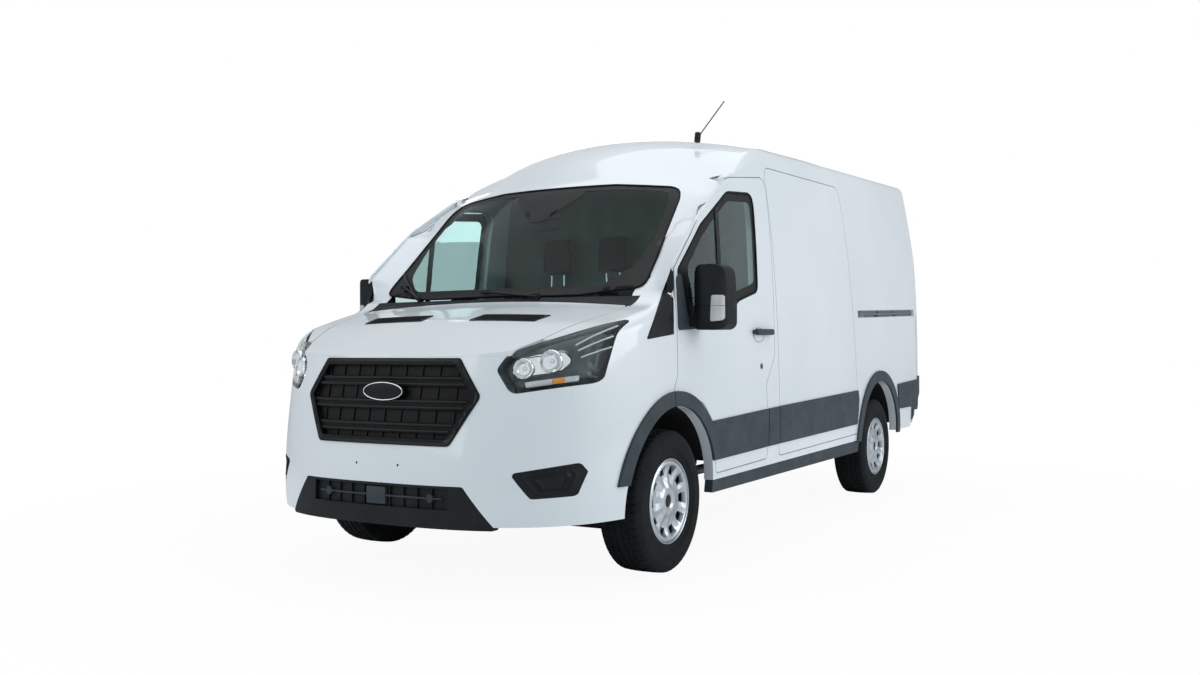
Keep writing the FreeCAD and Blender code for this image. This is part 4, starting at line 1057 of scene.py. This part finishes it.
# offsets place the headrests across from the seat's middle, one for each person
def makeSeat(seatName, middleX, width, offsets):
    front, back, low, top, inset = seat["base"]
    half = width / 2 - inset
    base = roundedBox(seatName + "Base", (middleX - half, front, low), (middleX + half, back, top),
                      seat["baseEdge"], "dash", "body")
    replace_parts(base, seatName)
    part = width / len(offsets)
    for number, offset in enumerate(offsets):
        at = middleX - width / 2 + part * (number + 0.5)
        front, back, low, top, inset = seat["cushion"]
        half = part / 2 - inset
        cushion = roundedBox("%sCushion%d" % (seatName, number), (at - half, front, low),
                             (at + half, back, top), seat["cushionEdge"], "cloth", "body", 4)
        padPiece(cushion, seatName)
        leaning("%sBack%d" % (seatName, number), 2 * half, at, seat["backrest"], seatName)
        rest = middleX + offset
        leaning("%sRest%d" % (seatName, number), seat["headrestWidth"], rest, seat["headrest"], seatName)
        stems = seat["stems"]
        for label, turn in (("a", -1), ("b", 1)):
            x = rest + turn * stems["off"]
            tube("%sStem%d%s" % (seatName, number, label), [(x, *stems["low"]), (x, *stems["top"])],
                 stems["radius"], "chrome", "body")


makeSeat("driver_seat", 0.500, 0.500, [0.0])
makeSeat("passenger_seat", -0.235, 0.900, [-0.205, 0.205])
print("seats done")


# Rear: lamp fields, door handle, hinges, plate place and high brake light

rear = {
    # z from, z to, finish of each field of a tail lamp
    "fields": [(0.920, 1.050, "redLens"), (1.058, 1.150, "clearBlinker"), (1.158, 1.262, "amber"),
               (1.270, 1.455, "redLens")],
    "hinges": [0.80, 1.32, 1.86],
    "fieldFrom": 0.822, "fieldTo": 0.945, "hingeAt": 0.755,
    "plate": [(0.130, 0.960), (0.650, 0.960), (0.650, 1.070), (0.130, 1.070)],
    "pullAt": (-0.090, 1.050),
    "brakeLight": [(-0.130, 2.258), (0.130, 2.258), (0.130, 2.282), (-0.130, 2.282)],
}
rearTree = treeOf("rear_door_left", "rear_door_right", "roof", "body_side_left", "body_side_right")
for side, sign in sides:
    tailTree = treeOf("tail_lamps")
    for number, (low, high, kind) in enumerate(rear["fields"]):
        inner, outer = rear["fieldFrom"], rear["fieldTo"]
        field = flipped([(inner, low), (outer, low), (outer, high), (inner, high)], sign)
        drape("tailField%d_%s" % (number, side), rounded(field, 0.012), "rear", tailTree, kind, "body",
              lift=0.0015, thick=0.002)
    for number, z in enumerate(rear["hinges"]):
        spot = spotOn((sign * rear["hingeAt"], z), "rear", rearTree)
        roundedBox("rearHinge%d_%s" % (number, side), spot - Vector((0.035, 0.004, 0.030)),
                   spot + Vector((0.020, 0.014, 0.030)), 0.004, "paint", "rear_door_" + side)
drape("platePlace", rounded(rear["plate"], 0.01), "rear", rearTree, "blackPlastic", "rear_door_left",
      lift=0.003, thick=0.004, cell=0.04)
spot = spotOn(rear["pullAt"], "rear", rearTree)
roundedBox("rearPull", spot - Vector((0.055, 0.002, 0.095)), spot + Vector((0.055, 0.026, 0.095)), 0.010,
           "blackPlastic", "rear_door_right")
drape("highBrakeLight", rounded(rear["brakeLight"], 0.008), "rear", rearTree, "redLens", "body",
      lift=0.003, thick=0.004, cell=0.02)
print("rear done")


# Camera, lights and floor

shot = {"place": (3.5011, -6.6286, 1.1209), "azimuth": 30.88, "pitch": -0.266, "roll": 0.308,
        "lens": 33.823}
cameraData = bpy.data.cameras.new("camera")
cameraData.lens, cameraData.sensor_width = shot["lens"], 36.0
camera = bpy.data.objects.new("camera", cameraData)
scene.collection.objects.link(camera)
turn, tilt = math.radians(shot["azimuth"]), math.radians(shot["pitch"])
ahead = Vector((-math.sin(turn) * math.cos(tilt), math.cos(turn) * math.cos(tilt), -math.sin(tilt)))
rest = ahead.to_track_quat("-Z", "Y").to_matrix().to_4x4()
level = Matrix.Rotation(math.radians(-shot["roll"]), 4, "Z")
camera.matrix_world = Matrix.Translation(shot["place"]) @ rest @ level
cameraData.clip_end = 200
scene.camera = camera
scene.view_settings.view_transform = "Standard"


lights = {
    # place, aim, size and power
    "overLight": ((0.5, -0.5, 7.0), (0, 0, 0), (9, 9), 235),
    "leftLight": ((7.5, 1.0, 3.4), (0, 0.4, 1.0), (7, 4), 210),
    "frontLight": ((-3.5, -8.0, 3.6), (0, -1.5, 1.0), (6, 4), 120),
    "backLight": ((-5.0, 7.5, 4.5), (0, 1.0, 1.0), (6, 4), 90),
}
for name, (place, aim, size, power) in lights.items():
    light = bpy.data.lights.new(name, "AREA")
    light.shape, light.size, light.size_y, light.energy = "RECTANGLE", size[0], size[1], power
    holder = bpy.data.objects.new(name, light)
    scene.collection.objects.link(holder)
    holder.location = place
    holder.rotation_mode = "QUATERNION"
    holder.rotation_quaternion = (Vector(aim) - Vector(place)).to_track_quat("-Z", "Y")


# 1 for rays that reach the camera, straight or through glass
def seenByCamera(tree):
    path = addNode(tree, "LightPath")
    either = addNode(tree, "Math", operation="MAXIMUM")
    link(tree, path, "Is Camera Ray", either, 0)
    link(tree, path, "Is Transmission Ray", either, 1)
    return either


surround = {"colour": "#E9EDF2", "strength": 0.56}      # lights the van, while the background shows white
world = bpy.data.worlds.new("paleStudio")
scene.world = world
world.use_nodes = True
worldTree = world.node_tree
background = worldTree.nodes["Background"]
setNode(background, Color=linear(surround["colour"]), Strength=surround["strength"])
seen = addNode(worldTree, "Background")
setNode(seen, Color=linear("#FFFFFF"), Strength=1.0)
mixWorld = addNode(worldTree, "MixShader")
link(worldTree, seenByCamera(worldTree), "Value", mixWorld, "Fac")
link(worldTree, background, "Background", mixWorld, 1)
link(worldTree, seen, "Background", mixWorld, 2)
link(worldTree, mixWorld, "Shader", worldTree.nodes["World Output"], "Surface")

floorMesh = meshOf("studioFloor", [(-40, -40, 0), (40, -40, 0), (40, 60, 0), (-40, 60, 0)], [[0, 1, 2, 3]])
floorMaterial, floorTree, floorShader = newMaterial("paleFloor")
setNode(floorShader, Base_Color=linear("#EDEEF0"), Roughness=0.55)
# the floor turns white with distance, as in a cut-out picture
fade = {"from": 2.4, "to": 4.6, "near": 0.94}


def makeFloorFade():
    place = addNode(floorTree, "TexCoord")
    reach = addNode(floorTree, "VectorMath", operation="LENGTH")
    spread = addNode(floorTree, "MapRange", From_Min=fade["from"], From_Max=fade["to"], To_Min=fade["near"])
    white = addNode(floorTree, "Emission")
    share = addNode(floorTree, "Math", operation="MULTIPLY")
    blend = addNode(floorTree, "MixShader")
    link(floorTree, place, "Object", reach, 0)
    link(floorTree, reach, "Value", spread, "Value")
    link(floorTree, spread, "Result", share, 0)
    link(floorTree, seenByCamera(floorTree), "Value", share, 1)
    link(floorTree, share, "Value", blend, "Fac")
    link(floorTree, floorShader, "BSDF", blend, 1)
    link(floorTree, white, "Emission", blend, 2)
    link(floorTree, blend, "Shader", floorTree.nodes["Material Output"], "Surface")


makeFloorFade()
floorMesh.materials.append(floorMaterial)
floor = bpy.data.objects.new("studioFloor", floorMesh)
scene.collection.objects.link(floor)
print("stage set")
